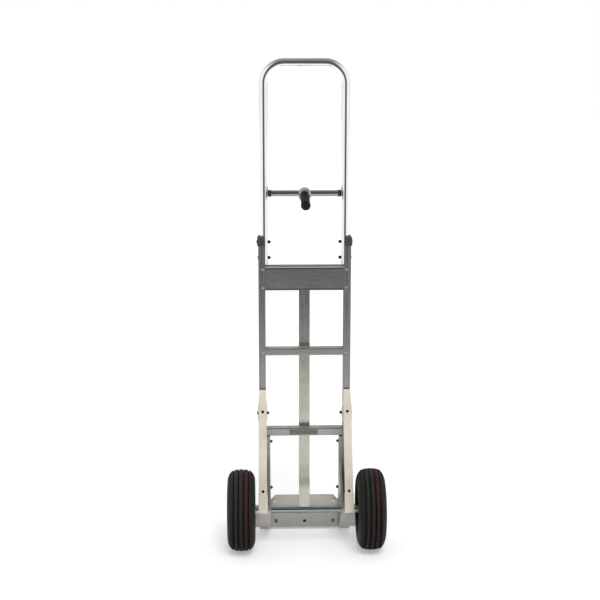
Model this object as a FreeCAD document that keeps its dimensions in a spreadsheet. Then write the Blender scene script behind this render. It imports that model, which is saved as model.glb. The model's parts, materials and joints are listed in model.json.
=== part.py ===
"""Two-wheel aluminium hand truck with a loop handle, stair runners and air-filled wheels.

Frame of the model: +X to the right for someone standing behind the truck, +Y towards the
load, +Z up.  The origin is on the floor, in the middle of the truck's outline.
"""
import FreeCAD, Part
import math
import os
import Sketcher

VECTOR = FreeCAD.Vector
ALONG_X = FreeCAD.Rotation(VECTOR(0, 0, 1), VECTOR(1, 0, 0))
ALONG_MINUS_X = FreeCAD.Rotation(VECTOR(0, 0, 1), VECTOR(-1, 0, 0))
ALONG_Y = FreeCAD.Rotation(VECTOR(0, 0, 1), VECTOR(0, 1, 0))
ALONG_MINUS_Y = FreeCAD.Rotation(VECTOR(0, 0, 1), VECTOR(0, -1, 0))
ALONG_Z = FreeCAD.Rotation()
ALONG_MINUS_Z = FreeCAD.Rotation(VECTOR(1, 0, 0), 180)
ABOUT_X = FreeCAD.Rotation(VECTOR(1, 0, 0), 90)

# ---------------------------------------------------------------- driving sizes, in mm
SIZES = {
    # frame
    "frame_width": (292, "outside to outside of the two side rails"),
    "rail_width": (22, "side rail, seen from behind"),
    "rail_depth": (40, "side rail, front to back"),
    "rail_lip": (3, "front and back walls of the rail channel"),
    "rail_web": (6, "outer wall of the rail channel"),
    "rail_top": (960, "top end of the side rails"),
    "rail_bead": (1.4, "width and depth of the long grooves along a rail"),
    "rail_groove_outer": (4.1, "from the rail's outer side to its first back groove"),
    "rail_groove_inner": (8.4, "from the rail's outer side to its second back groove"),
    "rail_side_groove": (8, "from the rail's middle to each groove of its outer wall"),
    "axle_setback": (150, "from the axle to the back of the rails"),
    "seat_gap": (0.2, "clearance of a piece nested in a rail"),
    # rail caps
    "cap_wall": (3.4, "wall of the moulded rail cap"),
    "cap_skirt": (18, "length of rail that the cap covers"),
    "cap_crown": (12, "height of the cap above the rail end, at its outer side"),
    "cap_slope": (7, "how much lower the crown is at its inner side"),
    "cap_gap": (0.3, "clearance between a cap and what it holds"),
    "cap_edge": (2.4, "rounding of a cap's outer edges"),
    # cross members
    "panel_middle": (838, "height of the middle of the top panel"),
    "panel_height": (77, "top panel, top to bottom"),
    "middle_bar_level": (599, "height of the middle crossbar"),
    "middle_bar_height": (23, "middle crossbar, top to bottom"),
    "lower_bar_level": (333, "height of the lower crossbar"),
    "lower_bar_height": (25, "lower crossbar, top to bottom"),
    "bar_wall": (2.5, "wall of the hollow cross members"),
    "bar_edge": (3, "rounding of the crossbars' long edges"),
    "groove_depth": (1.2, "depth of the top panel's highest and lowest grooves"),
    "top_groove_drop": (6.9, "from the panel's top to the middle of its wide groove"),
    "top_groove_width": (4.6, "that wide groove"),
    "foot_groove_rise": (5.4, "from the panel's bottom to the middle of its lowest groove"),
    "foot_groove_width": (2, "that lowest groove"),
    "fine_groove_pitch": (14.5, "from one to the next of the four fine grooves between"),
    "fine_groove_width": (1.2, "a fine groove"),
    "fine_groove_depth": (0.4, "depth of a fine groove"),
    "base_bar_bottom": (10, "underside of the base crossbar"),
    "base_bar_height": (50, "base crossbar, top to bottom"),
    "base_bar_depth": (20, "flanges of the base crossbar, front to back"),
    "base_bar_wall": (3, "wall of the base crossbar"),
    "tow_hole": (10, "diameter of the open hole in the middle of the base crossbar"),
    "base_bolt_inset": (18, "from a bracket leg in to a bolt of the base crossbar"),
    "base_bolt_level": (31, "height of the base crossbar's holes"),
    # centre strap
    "strap_width": (35, "centre strap, side to side"),
    "strap_thick": (4, "centre strap"),
    "strap_top": (868, "top end of the centre strap"),
    "joggle_top": (178, "where the strap starts to step back"),
    "joggle_bottom": (162, "where the strap's step ends"),
    "strap_bottom": (8, "lower end of the strap"),
    # nose plate
    "nose_width": (457, "nose plate, side to side"),
    "nose_depth": (190, "nose plate, from the rails' front to its front edge"),
    "nose_thick": (6, "nose plate and its back flange"),
    "heel_step": (1, "from the load face down to the ledge that the rails stand on"),
    "nose_setback": (14, "from the rails' front to the back of the flange"),
    "flange_height": (110, "top of the nose plate's back flange"),
    "nose_corner": (28, "rounding of the nose plate's front corners"),
    "nose_bevel": (4, "height of the bevel under the front edge's top"),
    "nose_bevel_run": (22, "length of that bevel"),
    "flange_notch": (16, "corner cut off the flange's two top ends"),
    # loop handle
    "loop_top": (1520, "top of the loop handle"),
    "tube_diameter": (25.4, "loop handle tube"),
    "tube_wall": (2, "wall of the loop handle tube"),
    "leg_gap": (0.3, "clearance between a leg of the loop and its rail's outer wall"),
    "loop_bend": (63.5, "bend radius at the tube's centre line"),
    "leg_bottom": (882, "lower end of the loop's legs"),
    "handle_bar_level": (1105, "height of the crossbar of the handle"),
    "handle_bar_diameter": (19, "crossbar of the handle"),
    "saddle_wall": (3, "plate that hugs the leg at each end of the handle crossbar"),
    "saddle_height": (44, "that plate, top to bottom"),
    "saddle_wrap": (3.2, "how far short of the leg's middle the plate's wings end"),
    "ferrule_diameter": (21.5, "dark ferrule on each end of the handle crossbar"),
    "ferrule_length": (7, "that ferrule"),
    # one-hand grip
    "grip_tilt": (12, "slope of the grip below level, in degrees"),
    "stub_length": (118, "grip stub tube, from the middle of the handle crossbar"),
    "stub_diameter": (22, "grip stub tube"),
    "collar_diameter": (40, "socket collar at the root of the grip"),
    "collar_reach": (26, "from the middle of the handle crossbar to the collar's face"),
    "grip_diameter": (30, "rubber grip"),
    "grip_length": (100, "rubber grip"),
    "grip_round": (9, "rounding of the rubber grip's free end"),
    "grip_lip": (3, "bevel at the rubber grip's root"),
    # wheels
    "tyre_diameter": (254, "outside of the tyre"),
    "tyre_width": (88, "tyre, at its widest"),
    "tread_groove": (3.4, "depth of the tread's four grooves"),
    "tread_groove_width": (3.4, "width of a tread groove"),
    "tread_rib": (15.5, "from one groove to the next"),
    "tyre_wall": (7, "thickness of the tyre's side walls"),
    "tread_wall": (9, "from the tread in to the top of the tyre's cavity"),
    "tread_drop": (0.6, "how much lower the tread is beyond its outer grooves"),
    "bead_lip": (2.5, "how far the tyre's side stands off the rim's edge"),
    "rim_edge": (118, "diameter of the rim's edge"),
    "bead_seat": (101, "diameter that the tyre's bead sits on"),
    "rim_width": (54, "rim, edge to edge"),
    "rim_sheet": (2.5, "sheet that the rim halves are pressed from"),
    "hub_diameter": (41, "hub tube"),
    "hub_length": (62, "hub tube, end to end"),
    "hub_shoulder": (3, "height of the shoulder behind a bearing"),
    "bearing_diameter": (35, "outside of a wheel bearing"),
    "bearing_width": (11, "wheel bearing"),
    "bearing_relief": (1, "how much deeper its seat is than the bearing"),
    "outer_race": (3, "face of a bearing's outer race"),
    "inner_race": (2.2, "face of a bearing's inner race"),
    "shield_dip": (0.8, "from a bearing's face in to its shield"),
    "running_gap": (0.05, "clearance round the axle in a bearing"),
    "face_gap": (0.3, "clearance between a turning face and a fixed one"),
    "axle_diameter": (15.88, "axle"),
    "axle_end": (5, "from the middle of a cotter pin to the end of the axle"),
    "spacer_length": (24.7, "tube between a bracket and a hub"),
    "spacer_wall": (4, "wall of that tube"),
    "washer_thick": (2, "washer outside each hub"),
    "washer_rim": (5, "from the axle out to a washer's edge"),
    "pin_diameter": (3.2, "cotter pin shank"),
    "pin_reach": (12, "from the axle's middle to the cotter pin's ends"),
    "pin_gap": (0.1, "clearance of a cotter pin in its hole and beside its washer"),
    "pin_eye": (6.4, "cotter pin's eye, across the middle of its wire"),
    "pin_eye_wire": (2.2, "wire of that eye"),
    "tube_gap": (0.5, "between the air tube and the tyre"),
    "tube_skin": (1.5, "rubber of the air tube"),
    "valve_diameter": (7, "valve stem"),
    "valve_length": (30, "valve stem"),
    "rim_bolt_circle": (64, "diameter of the circle of rim bolts"),
    # wheel brackets
    "leg_top": (318, "top of the bracket leg nested in a rail"),
    "leg_inset": (13, "how far the leg stands out of the rail towards the middle"),
    "leg_wall": (4, "wall of that leg"),
    "arm_thick": (8, "bracket arm"),
    "arm_top": (250, "top of the bracket arm at the rail"),
    "boss_diameter": (34, "boss round the axle"),
    "boss_overhang": (1, "how far the boss stands outside the rail"),
    "arm_tuck": (1.7, "how far inside the boss the arm's edges end"),
    "foot_sheet": (5, "flat under the sloping web's lower end"),
    "foot_end": (6.5, "end face of the web at the rail"),
    "foot_start": (37, "where its underside leaves the boss, in degrees below level"),
    "foot_tuck": (3.4, "how far below the axle its top side starts"),
    "window_diameter": (44, "round window in the bracket arm"),
    "window_setback": (84, "from the axle forward to that window"),
    "window_rise": (6, "from the axle up to it"),
    # stair runners
    "runner_lean": (26, "lean of a stair runner from upright, in degrees"),
    "runner_width": (26, "stair runner"),
    "runner_sheet": (4, "aluminium bar of the stair runner"),
    "runner_tip": (2, "how far the runner's back edge rises past its front edge"),
    "strip_thick": (7, "pale wear strip"),
    "strip_edge": (1.6, "rounding of a wear strip's outer edges"),
    "strip_tip": (20.5, "a runner and its strip at their top ends"),
    "strip_taper": (44, "how far down the runner they narrow"),
    "strip_foot_width": (29, "lower wear block"),
    "strip_foot_thick": (8.5, "lower wear block"),
    "ear_thick": (3, "ears that hold the runner to its rail"),
    "ear_level": (393, "height of the bolt through the ears"),
    "ear_half": (16, "half the height of an ear at the rail"),
    "ear_reach": (12.8, "from that bolt to the ear's front edge"),
    "ear_foot": (35.2, "from that bolt down to the ear's lower end on the runner"),
    "ear_head": (19.2, "from that bolt up to the ear's upper end on the runner"),
    "foot_seam": (47, "from the axle up the runner to the seam between strip and block"),
    "foot_drop": (15, "from the axle down the runner to its lower end"),
    "screw_diameter": (9, "head of a wear strip screw"),
    "screw_head": (2, "height of that head"),
    "screw_edge": (0.6, "bevel of that head"),
    "screw_gap": (0.3, "clearance round that head"),
    "screw_end": (2, "how far a screw stands out in front of the runner"),
    "screw_low": (6.5, "from the seam up the runner to the lower screw"),
    "screw_high": (7.6, "from the ear's bolt down the runner to the upper screw"),
    # fasteners
    "bolt_shank": (6, "frame bolt shank"),
    "bolt_head": (11.5, "frame bolt head, corner to corner"),
    "bolt_head_height": (4, "frame bolt head"),
    "low_head": (10.5, "round low head of a handle or leg bolt"),
    "low_head_height": (2, "that head"),
    "nut_height": (6, "frame nut"),
    "thread_gap": (0.05, "clearance of a nut round its bolt"),
    "bolt_end": (2, "how far a frame bolt stands out of its nut"),
    "short_bolt_end": (1, "how far a nose or rim bolt stands out of its nut"),
    "rivet_head": (9, "rivet head"),
    "rivet_rise": (2, "height of a rivet head"),
    "rivet_shank": (4.8, "rivet shank"),
    "hole_gap": (0.25, "clearance of a hole round its bolt or rivet"),
    "rail_rivet_inset": (7.3, "from the rail's inner side to its rivets"),
    "panel_rivet_inset": (9.6, "from the panel's top or bottom to its rivets"),
    "handle_bolt_high": (952, "height of the upper handle bolts"),
    "handle_bolt_low": (902, "height of the lower handle bolts"),
    "leg_bolt_high": (297, "height of the upper bracket bolts"),
    "leg_bolt_low": (140, "height of the lower bracket bolts"),
    "nose_bolt_inset": (14, "from a bracket leg in to an upper nose bolt"),
    "nose_bolt_level": (92, "height of the upper nose bolts"),
    # blank plate
    "plate_width": (92, "blank plate on the lower crossbar"),
    "plate_height": (17, "blank plate"),
    "plate_thick": (0.8, "blank plate"),
    "plate_shift": (3, "how far the blank plate sits left of the middle"),
}

FINE_GROOVES = 4
RIM_BOLTS = 4
SIDE_STEPS = 4
SIDE_TURN = 60
SIDE_SQUARENESS = 0.6
SIDE_MIDDLE = 0.4
TOLERANCE = 0.01

doc = FreeCAD.newDocument("HandTruck")
sheet = doc.addObject("Spreadsheet::Sheet", "Sizes")
for row, (alias, (number, meaning)) in enumerate(SIZES.items(), start=1):
    sheet.set(f"A{row}", meaning)
    sheet.set(f"B{row}", str(number))
    sheet.setAlias(f"B{row}", alias)
doc.recompute()


# ---------------------------------------------------------------- sizes as formulas
class Size:
    """A number together with the sheet formula that it comes from."""

    def __init__(self, formula, number):
        self.formula = formula
        self.number = number

    def __add__(self, other):
        return combine(self, "+", other)

    def __radd__(self, other):
        return combine(other, "+", self)

    def __sub__(self, other):
        return combine(self, "-", other)

    def __rsub__(self, other):
        return combine(other, "-", self)

    def __mul__(self, other):
        return combine(self, "*", other)

    def __rmul__(self, other):
        return combine(other, "*", self)

    def __truediv__(self, other):
        return combine(self, "/", other)

    def __neg__(self):
        return combine(0, "-", self)


def as_size(value):
    return value if isinstance(value, Size) else Size(str(value), value)


def combine(first, sign, second):
    first, second = as_size(first), as_size(second)
    results = {
        "+": lambda a, b: a + b,
        "-": lambda a, b: a - b,
        "*": lambda a, b: a * b,
        "/": lambda a, b: a / b,
    }
    number = results[sign](first.number, second.number)
    return Size(f"({first.formula} {sign} {second.formula})", number)


def sine(angle):
    return Size(f"sin({angle.formula})", math.sin(math.radians(angle.number)))


def cosine(angle):
    return Size(f"cos({angle.formula})", math.cos(math.radians(angle.number)))


def size(alias):
    return Size(f"Sizes.{alias}", float(sheet.get(alias)))


S = {alias: size(alias) for alias in SIZES}

axle_y = (S["tyre_diameter"] / 2 - S["axle_setback"] - S["rail_depth"] - S["nose_depth"]) / 2
axle_z = S["tyre_diameter"] / 2
rail_back = axle_y + S["axle_setback"]
rail_front = rail_back + S["rail_depth"]
rail_middle = rail_back + S["rail_depth"] / 2
rail_outer = S["frame_width"] / 2
rail_inner = rail_outer - S["rail_width"]
channel_outer = rail_outer - S["rail_web"]
channel_back = rail_back + S["rail_lip"]
channel_front = rail_front - S["rail_lip"]
rail_bottom = S["nose_thick"] - S["heel_step"]
bar_reach = channel_outer - S["seat_gap"]
flange_back = rail_front - S["nose_setback"]
flange_front = flange_back + S["nose_thick"]
tube_radius = S["tube_diameter"] / 2
leg_x = channel_outer - S["leg_gap"] - tube_radius
leg_face = rail_inner - S["leg_inset"]
nose_bolt_x = leg_face - S["nose_bolt_inset"]
base_bolt_x = leg_face - S["base_bolt_inset"]
bracket_face = rail_outer + S["boss_overhang"]
wheel_x = bracket_face + S["spacer_length"] + S["face_gap"] + S["hub_length"] / 2
cap_outer = rail_outer + S["cap_wall"]
panel_bottom = S["panel_middle"] - S["panel_height"] / 2
panel_top = S["panel_middle"] + S["panel_height"] / 2


# ---------------------------------------------------------------- modelling helpers
def bind(thing, path, value):
    """Set one property of an object, or of its placement, from a formula."""
    value = as_size(value)
    thing.setExpression(path, value.formula)


def place(thing, x=0, y=0, z=0, rotation=ALONG_Z):
    """Put an object at a point given by formulas, turned by a fixed rotation."""
    thing.Placement = FreeCAD.Placement(VECTOR(0, 0, 0), rotation)
    for axis, value in zip("xyz", (x, y, z)):
        bind(thing, f"Placement.Base.{axis}", value)
    return thing


def box(name, low, high):
    """A box between two corners."""
    thing = doc.addObject("Part::Box", name)
    for side, start, end in zip(("Length", "Width", "Height"), low, high):
        bind(thing, side, as_size(end) - start)
    return place(thing, *low)


def rod(name, diameter, length, at, rotation=ALONG_Z):
    """A cylinder from a point, along a direction."""
    thing = doc.addObject("Part::Cylinder", name)
    bind(thing, "Radius", as_size(diameter) / 2)
    bind(thing, "Height", length)
    return place(thing, *at, rotation)


def prism(name, across_corners, length, at, rotation=ALONG_Z):
    """A six-sided prism from a point, along a direction."""
    thing = doc.addObject("Part::Prism", name)
    thing.Polygon = 6
    bind(thing, "Circumradius", as_size(across_corners) / 2)
    bind(thing, "Height", length)
    return place(thing, *at, rotation)


def cut(name, base, tools):
    """One object with others taken out of it."""
    thing = doc.addObject("Part::Cut", name)
    thing.Base = base
    thing.Tool = tools[0] if len(tools) == 1 else join(name + "_tools", tools)
    return thing


def join(name, pieces):
    """Several objects made into one solid."""
    thing = doc.addObject("Part::MultiFuse", name)
    thing.Shapes = pieces
    return thing


def group(name, pieces):
    """Several separate solids that share one node."""
    thing = doc.addObject("Part::Compound", name)
    thing.Links = pieces
    return thing


def mirror(name, source):
    """The same piece on the other side of the truck."""
    thing = doc.addObject("Part::Mirroring", name)
    thing.Source = source
    thing.Normal = (1, 0, 0)
    thing.Base = (0, 0, 0)
    return thing


NODES = []


def node(thing, label):
    """Give a finished sub-part the label that names its file."""
    thing.Label = label
    NODES.append(thing)
    return thing


def both_sides(right, name):
    """Keep a right-hand piece and its mirror image as two nodes."""
    node(right, f"{name}_right")
    node(mirror(f"{name}_mirror", right), f"{name}_left")


def both_in_one(name, pieces):
    """Keep right-hand pieces and their mirror images as separate solids of one node."""
    mirrored = [mirror(f"{piece.Name}_mirror", piece) for piece in pieces]
    return node(group(f"{name}_group", pieces + mirrored), name)


def new_body(name):
    return doc.addObject("PartDesign::Body", name)


def plane_of(body, role):
    return next(item for item in body.Origin.OriginFeatures if item.Role == role)


def new_sketch(body, name, role, level=0):
    """A sketch on one of the body's own planes, moved along the plane's normal."""
    sketch = body.newObject("Sketcher::SketchObject", name)
    sketch.AttachmentSupport = (plane_of(body, role), "")
    sketch.MapMode = "FlatFace"
    bind(sketch, "AttachmentOffset.Base.z", level)
    return sketch


def hold(sketch, item, corner, point):
    """Tie one point of a sketch to its two formulas, measured from the sketch's origin."""
    for kind, value in zip(("DistanceX", "DistanceY"), point):
        value = as_size(value)
        rule = sketch.addConstraint(Sketcher.Constraint(kind, -1, 1, item, corner, value.number))
        sketch.setExpression(f"Constraints[{rule}]", value.formula)


def outline(sketch, points):
    """A closed outline of straight edges."""
    first = sketch.GeometryCount
    corners = [VECTOR(as_size(x).number, as_size(y).number, 0) for x, y in points]
    count = len(corners)
    for start, end in zip(corners, corners[1:] + corners[:1]):
        sketch.addGeometry(Part.LineSegment(start, end), False)
    for number, point in enumerate(points):
        after = first + (number + 1) % count
        sketch.addConstraint(Sketcher.Constraint("Coincident", first + number, 2, after, 1))
        hold(sketch, first + number, 1, point)


def circle(sketch, centre, diameter):
    """A circle with its middle at a point given by formulas."""
    radius = as_size(diameter) / 2
    middle = VECTOR(as_size(centre[0]).number, as_size(centre[1]).number, 0)
    number = sketch.addGeometry(Part.Circle(middle, VECTOR(0, 0, 1), radius.number), False)
    hold(sketch, number, 3, centre)
    rule = sketch.addConstraint(Sketcher.Constraint("Radius", number, radius.number))
    sketch.setExpression(f"Constraints[{rule}]", radius.formula)


def pad(body, name, sketch, length, backwards=False):
    feature = body.newObject("PartDesign::Pad", name)
    feature.Profile = sketch
    bind(feature, "Length", length)
    feature.Reversed = backwards
    return feature


def pocket(body, name, sketch, length, backwards=False):
    """A pocket that is checked to take material away."""
    doc.recompute()
    before = body.Shape.Volume
    feature = body.newObject("PartDesign::Pocket", name)
    feature.Profile = sketch
    bind(feature, "Length", length)
    feature.Reversed = backwards
    doc.recompute()
    if not feature.Shape.Volume < before:
        raise ValueError(f"{name} takes nothing away")
    return feature


def turn(body, name, sketch, axis):
    """A full revolution about one of the sketch's own axes."""
    feature = body.newObject("PartDesign::Revolution", name)
    feature.Profile = sketch
    feature.ReferenceAxis = (sketch, [axis])
    feature.Angle = 360
    return feature


def round_edges(body, name, base, radius, wanted):
    """Round those edges of a feature that the test picks out."""
    doc.recompute()
    picked = [f"Edge{n}" for n, edge in enumerate(base.Shape.Edges, start=1) if wanted(edge)]
    feature = body.newObject("PartDesign::Fillet", name)
    feature.Base = (base, picked)
    bind(feature, "Radius", radius)
    doc.recompute()
    return feature


def runs_along(edge, direction):
    """Whether a straight edge runs along a direction."""
    if not isinstance(edge.Curve, Part.Line):
        return False
    return abs(abs(edge.Curve.Direction.dot(direction)) - 1) < TOLERANCE


def holes_through(body, name, role, level, places, diameter, depth, backwards=False):
    """A row of round holes cut from one of the body's planes."""
    sketch = new_sketch(body, f"{name}_places", role, level)
    for place_of_hole in places:
        circle(sketch, place_of_hole, diameter)
    return pocket(body, name, sketch, depth, backwards)


def bolt(name, at, rotation, grip, low=False):
    """A hex or low-headed bolt: its head's seat is at the point, its shank goes along."""
    shank = rod(f"{name}_shank", S["bolt_shank"], grip, at, rotation)
    opposite = rotation.multiply(ALONG_MINUS_Z)
    if low:
        head = rod(f"{name}_head", S["low_head"], S["low_head_height"], at, opposite)
    else:
        head = prism(f"{name}_head", S["bolt_head"], S["bolt_head_height"], at, opposite)
    return join(name, [head, shank])


def nut(name, at, rotation):
    """A hex nut: its seat is at the point, and it stands along the direction."""
    block = prism(f"{name}_block", S["bolt_head"], S["nut_height"], at, rotation)
    bore_size = S["bolt_shank"] + 2 * S["thread_gap"]
    bore = rod(f"{name}_bore", bore_size, S["nut_height"], at, rotation)
    return cut(name, block, [bore])


def rivet(name, at, rotation, grip):
    """A domed rivet: the head's seat is at the point, and the shank runs along the direction."""
    shank = rod(f"{name}_shank", S["rivet_shank"], grip, at, rotation)
    opposite = rotation.multiply(ALONG_MINUS_Z)
    head = doc.addObject("Part::Cone", f"{name}_head")
    bind(head, "Radius1", S["rivet_head"] / 2)
    bind(head, "Radius2", S["rivet_head"] / 4)
    bind(head, "Height", S["rivet_rise"])
    place(head, *at, opposite)
    return join(name, [head, shank])


bolt_hole = S["bolt_shank"] + 2 * S["hole_gap"]
rivet_hole = S["rivet_shank"] + 2 * S["hole_gap"]
rivet_levels = [
    panel_top - S["panel_rivet_inset"],
    panel_bottom + S["panel_rivet_inset"],
    S["middle_bar_level"],
    S["lower_bar_level"],
]
rail_rivet_x = rail_inner + S["rail_rivet_inset"]
strap_rivet_levels = [S["panel_middle"], S["middle_bar_level"], S["lower_bar_level"]]
handle_bolt_levels = [S["handle_bolt_high"], S["handle_bolt_low"]]
leg_bolt_levels = [S["leg_bolt_high"], S["leg_bolt_low"]]


# ---------------------------------------------------------------- side rails
def make_side_rails():
    """Channel rails, open towards the middle, with long grooves in their back and outer walls."""
    body = new_body("side_rail")
    profile = new_sketch(body, "rail_profile", "XY_Plane", rail_bottom)
    groove = S["rail_bead"]
    points = [(rail_inner, rail_back)]
    for middle in (rail_outer - S["rail_groove_inner"], rail_outer - S["rail_groove_outer"]):
        points += [
            (middle - groove / 2, rail_back),
            (middle - groove / 2, rail_back + groove / 2),
            (middle + groove / 2, rail_back + groove / 2),
            (middle + groove / 2, rail_back),
        ]
    points.append((rail_outer, rail_back))
    for middle in (rail_middle - S["rail_side_groove"], rail_middle + S["rail_side_groove"]):
        points += [
            (rail_outer, middle - groove),
            (rail_outer - groove, middle - groove),
            (rail_outer - groove, middle + groove),
            (rail_outer, middle + groove),
        ]
    points += [
        (rail_outer, rail_front),
        (rail_inner, rail_front),
        (rail_inner, channel_front),
        (channel_outer, channel_front),
        (channel_outer, channel_back),
        (rail_inner, channel_back),
    ]
    outline(profile, points)
    pad(body, "rail_length", profile, S["rail_top"] - rail_bottom)
    bolt_places = [(rail_middle, level) for level in handle_bolt_levels + leg_bolt_levels]
    bolt_places.append((rail_middle, S["ear_level"]))
    holes_through(body, "rail_bolt_holes", "YZ_Plane", rail_outer, bolt_places, bolt_hole,
                  S["rail_width"])
    rivet_places = [(rail_rivet_x, level) for level in rivet_levels]
    holes_through(body, "rail_rivet_holes", "XZ_Plane", -rail_back, rivet_places, rivet_hole,
                  S["rail_lip"])
    both_sides(body, "side_rail")


# ---------------------------------------------------------------- rail caps
def make_rail_caps():
    """Moulded caps over the rail ends, each open on its inner side round the loop's leg."""
    body = new_body("rail_cap")
    crown = S["rail_top"] + S["cap_crown"]
    skirt = S["rail_top"] - S["cap_skirt"]
    depth = S["rail_depth"] + 2 * S["cap_wall"]
    front_view = new_sketch(body, "cap_outline", "XZ_Plane", -(rail_back - S["cap_wall"]))
    outline(front_view, [
        (rail_inner, skirt),
        (cap_outer, skirt),
        (cap_outer, crown - S["cap_slope"]),
        (cap_outer - S["rail_width"] / 4, crown),
        (cap_outer - S["rail_width"] / 2, crown - S["cap_slope"] / 4),
        (rail_inner, crown - S["cap_slope"]),
    ])
    block = pad(body, "cap_block", front_view, depth, backwards=True)
    rounded = round_edges(
        body, "cap_rounding", block, S["cap_edge"],
        lambda edge: edge.BoundBox.XMin > rail_outer.number - S["cap_wall"].number
        and edge.BoundBox.ZLength < S["cap_skirt"].number,
    )
    body.Tip = rounded
    socket = new_sketch(body, "cap_socket_outline", "XY_Plane", skirt)
    gap = S["cap_gap"]
    outline(socket, [
        (rail_inner - gap, rail_back - gap),
        (rail_outer + gap, rail_back - gap),
        (rail_outer + gap, rail_front + gap),
        (rail_inner - gap, rail_front + gap),
    ])
    pocket(body, "cap_socket", socket, S["cap_skirt"], backwards=True)
    leg_way = new_sketch(body, "cap_leg_outline", "XY_Plane", skirt)
    circle(leg_way, (leg_x, rail_middle), S["tube_diameter"] + 2 * gap)
    pocket(body, "cap_leg_way", leg_way, S["cap_skirt"] + 2 * S["cap_crown"], backwards=True)
    holes_through(body, "cap_bolt_hole", "YZ_Plane", cap_outer,
                  [(rail_middle, S["handle_bolt_high"])], bolt_hole, S["cap_wall"])
    both_sides(body, "rail_cap")


# ---------------------------------------------------------------- cross members
def make_top_panel():
    """Hollow extrusion between the rails, with long grooves near its top and bottom."""
    body = new_body("top_panel_extrusion")
    profile = new_sketch(body, "panel_profile", "YZ_Plane", -bar_reach)
    deep, fine = S["groove_depth"], S["fine_groove_depth"]
    lowest = S["panel_middle"] - S["fine_groove_pitch"] * ((FINE_GROOVES - 1) / 2)
    grooves = [(panel_bottom + S["foot_groove_rise"], S["foot_groove_width"], deep)]
    for number in range(FINE_GROOVES):
        grooves.append((lowest + S["fine_groove_pitch"] * number, S["fine_groove_width"], fine))
    grooves.append((panel_top - S["top_groove_drop"], S["top_groove_width"], deep))
    points = [(channel_back, panel_bottom)]
    for middle, width, depth in grooves:
        low, high, dip = middle - width / 2, middle + width / 2, channel_back + depth
        points += [(channel_back, low), (dip, low), (dip, high), (channel_back, high)]
    points += [(channel_back, panel_top), (channel_front, panel_top), (channel_front, panel_bottom)]
    outline(profile, points)
    wall = S["bar_wall"] + deep
    outline(profile, [
        (channel_back + wall, panel_bottom + wall),
        (channel_back + wall, panel_top - wall),
        (channel_front - wall, panel_top - wall),
        (channel_front - wall, panel_bottom + wall),
    ])
    pad(body, "panel_length", profile, bar_reach * 2)
    cut_bar_holes(body, rivet_levels[:2], S["panel_middle"])
    node(body, "top_panel")


def cut_bar_holes(body, back_levels, front_level):
    """Rivet holes in a cross member: into the rails at the back, the strap at the front."""
    places = [(x, level) for x in (rail_rivet_x, -rail_rivet_x) for level in back_levels]
    depth = S["bar_wall"] + 2 * S["groove_depth"]
    holes_through(body, f"{body.Name}_back_holes", "XZ_Plane", -channel_back, places, rivet_hole,
                  depth)
    holes_through(body, f"{body.Name}_front_hole", "XZ_Plane", -channel_front,
                  [(0, front_level)], rivet_hole, depth, backwards=True)


def make_crossbar(name, level, height):
    """Hollow crossbar with rounded long edges, its ends inside the rail channels."""
    body = new_body(f"{name}_bar")
    profile = new_sketch(body, f"{name}_profile", "YZ_Plane", -bar_reach)
    low, high = level - height / 2, level + height / 2
    outline(profile, [
        (channel_back, low), (channel_back, high), (channel_front, high), (channel_front, low),
    ])
    bar = pad(body, f"{name}_length", profile, bar_reach * 2)
    rounded = round_edges(body, f"{name}_rounding", bar, S["bar_edge"],
                          lambda edge: runs_along(edge, VECTOR(1, 0, 0)))
    body.Tip = rounded
    wall = S["bar_wall"]
    hollow = new_sketch(body, f"{name}_hollow_outline", "YZ_Plane", bar_reach)
    outline(hollow, [
        (channel_back + wall, low + wall), (channel_back + wall, high - wall),
        (channel_front - wall, high - wall), (channel_front - wall, low + wall),
    ])
    pocket(body, f"{name}_hollow", hollow, bar_reach * 2)
    cut_bar_holes(body, [level], level)
    node(body, name)


def make_base_crossbar():
    """Channel between the bracket legs, open to the front, with a tow hole in its back."""
    body = new_body("base_channel")
    profile = new_sketch(body, "base_profile", "YZ_Plane", -leg_face)
    back, wall = rail_back, S["base_bar_wall"]
    front = back + S["base_bar_depth"]
    low = S["base_bar_bottom"]
    high = low + S["base_bar_height"]
    outline(profile, [
        (back, low), (back, high), (front, high), (front, high - wall),
        (back + wall, high - wall), (back + wall, low + wall), (front, low + wall), (front, low),
    ])
    pad(body, "base_length", profile, leg_face * 2)
    level = S["base_bolt_level"]
    holes_through(body, "tow_hole_cut", "XZ_Plane", -back, [(0, level)], S["tow_hole"], wall)
    sides = [(base_bolt_x, level), (-base_bolt_x, level)]
    holes_through(body, "base_bolt_holes", "XZ_Plane", -back, sides, bolt_hole, wall)
    node(body, "base_crossbar")


# ---------------------------------------------------------------- centre strap and blank plate
def make_center_strap():
    """Flat strap down the front of the crossbars, stepping back behind the nose flange."""
    body = new_body("strap")
    profile = new_sketch(body, "strap_profile", "YZ_Plane", -S["strap_width"] / 2)
    thick = S["strap_thick"]
    outline(profile, [
        (channel_front, S["strap_top"]),
        (channel_front + thick, S["strap_top"]),
        (channel_front + thick, S["joggle_top"]),
        (flange_back, S["joggle_bottom"]),
        (flange_back, S["strap_bottom"]),
        (flange_back - thick, S["strap_bottom"]),
        (flange_back - thick, S["joggle_bottom"]),
        (channel_front, S["joggle_top"]),
    ])
    pad(body, "strap_across", profile, S["strap_width"])
    holes_through(body, "strap_rivet_holes", "XZ_Plane", -channel_front,
                  [(0, level) for level in strap_rivet_levels], rivet_hole, thick * 2)
    node(body, "center_strap")


def make_blank_plate():
    """Bare plate on the back of the lower crossbar."""
    half, middle = S["plate_width"] / 2, -S["plate_shift"]
    low = S["lower_bar_level"] - S["plate_height"] / 2
    plate = box("plate", (middle - half, channel_back - S["plate_thick"], low),
                (middle + half, channel_back, low + S["plate_height"]))
    node(plate, "blank_plate")


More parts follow.
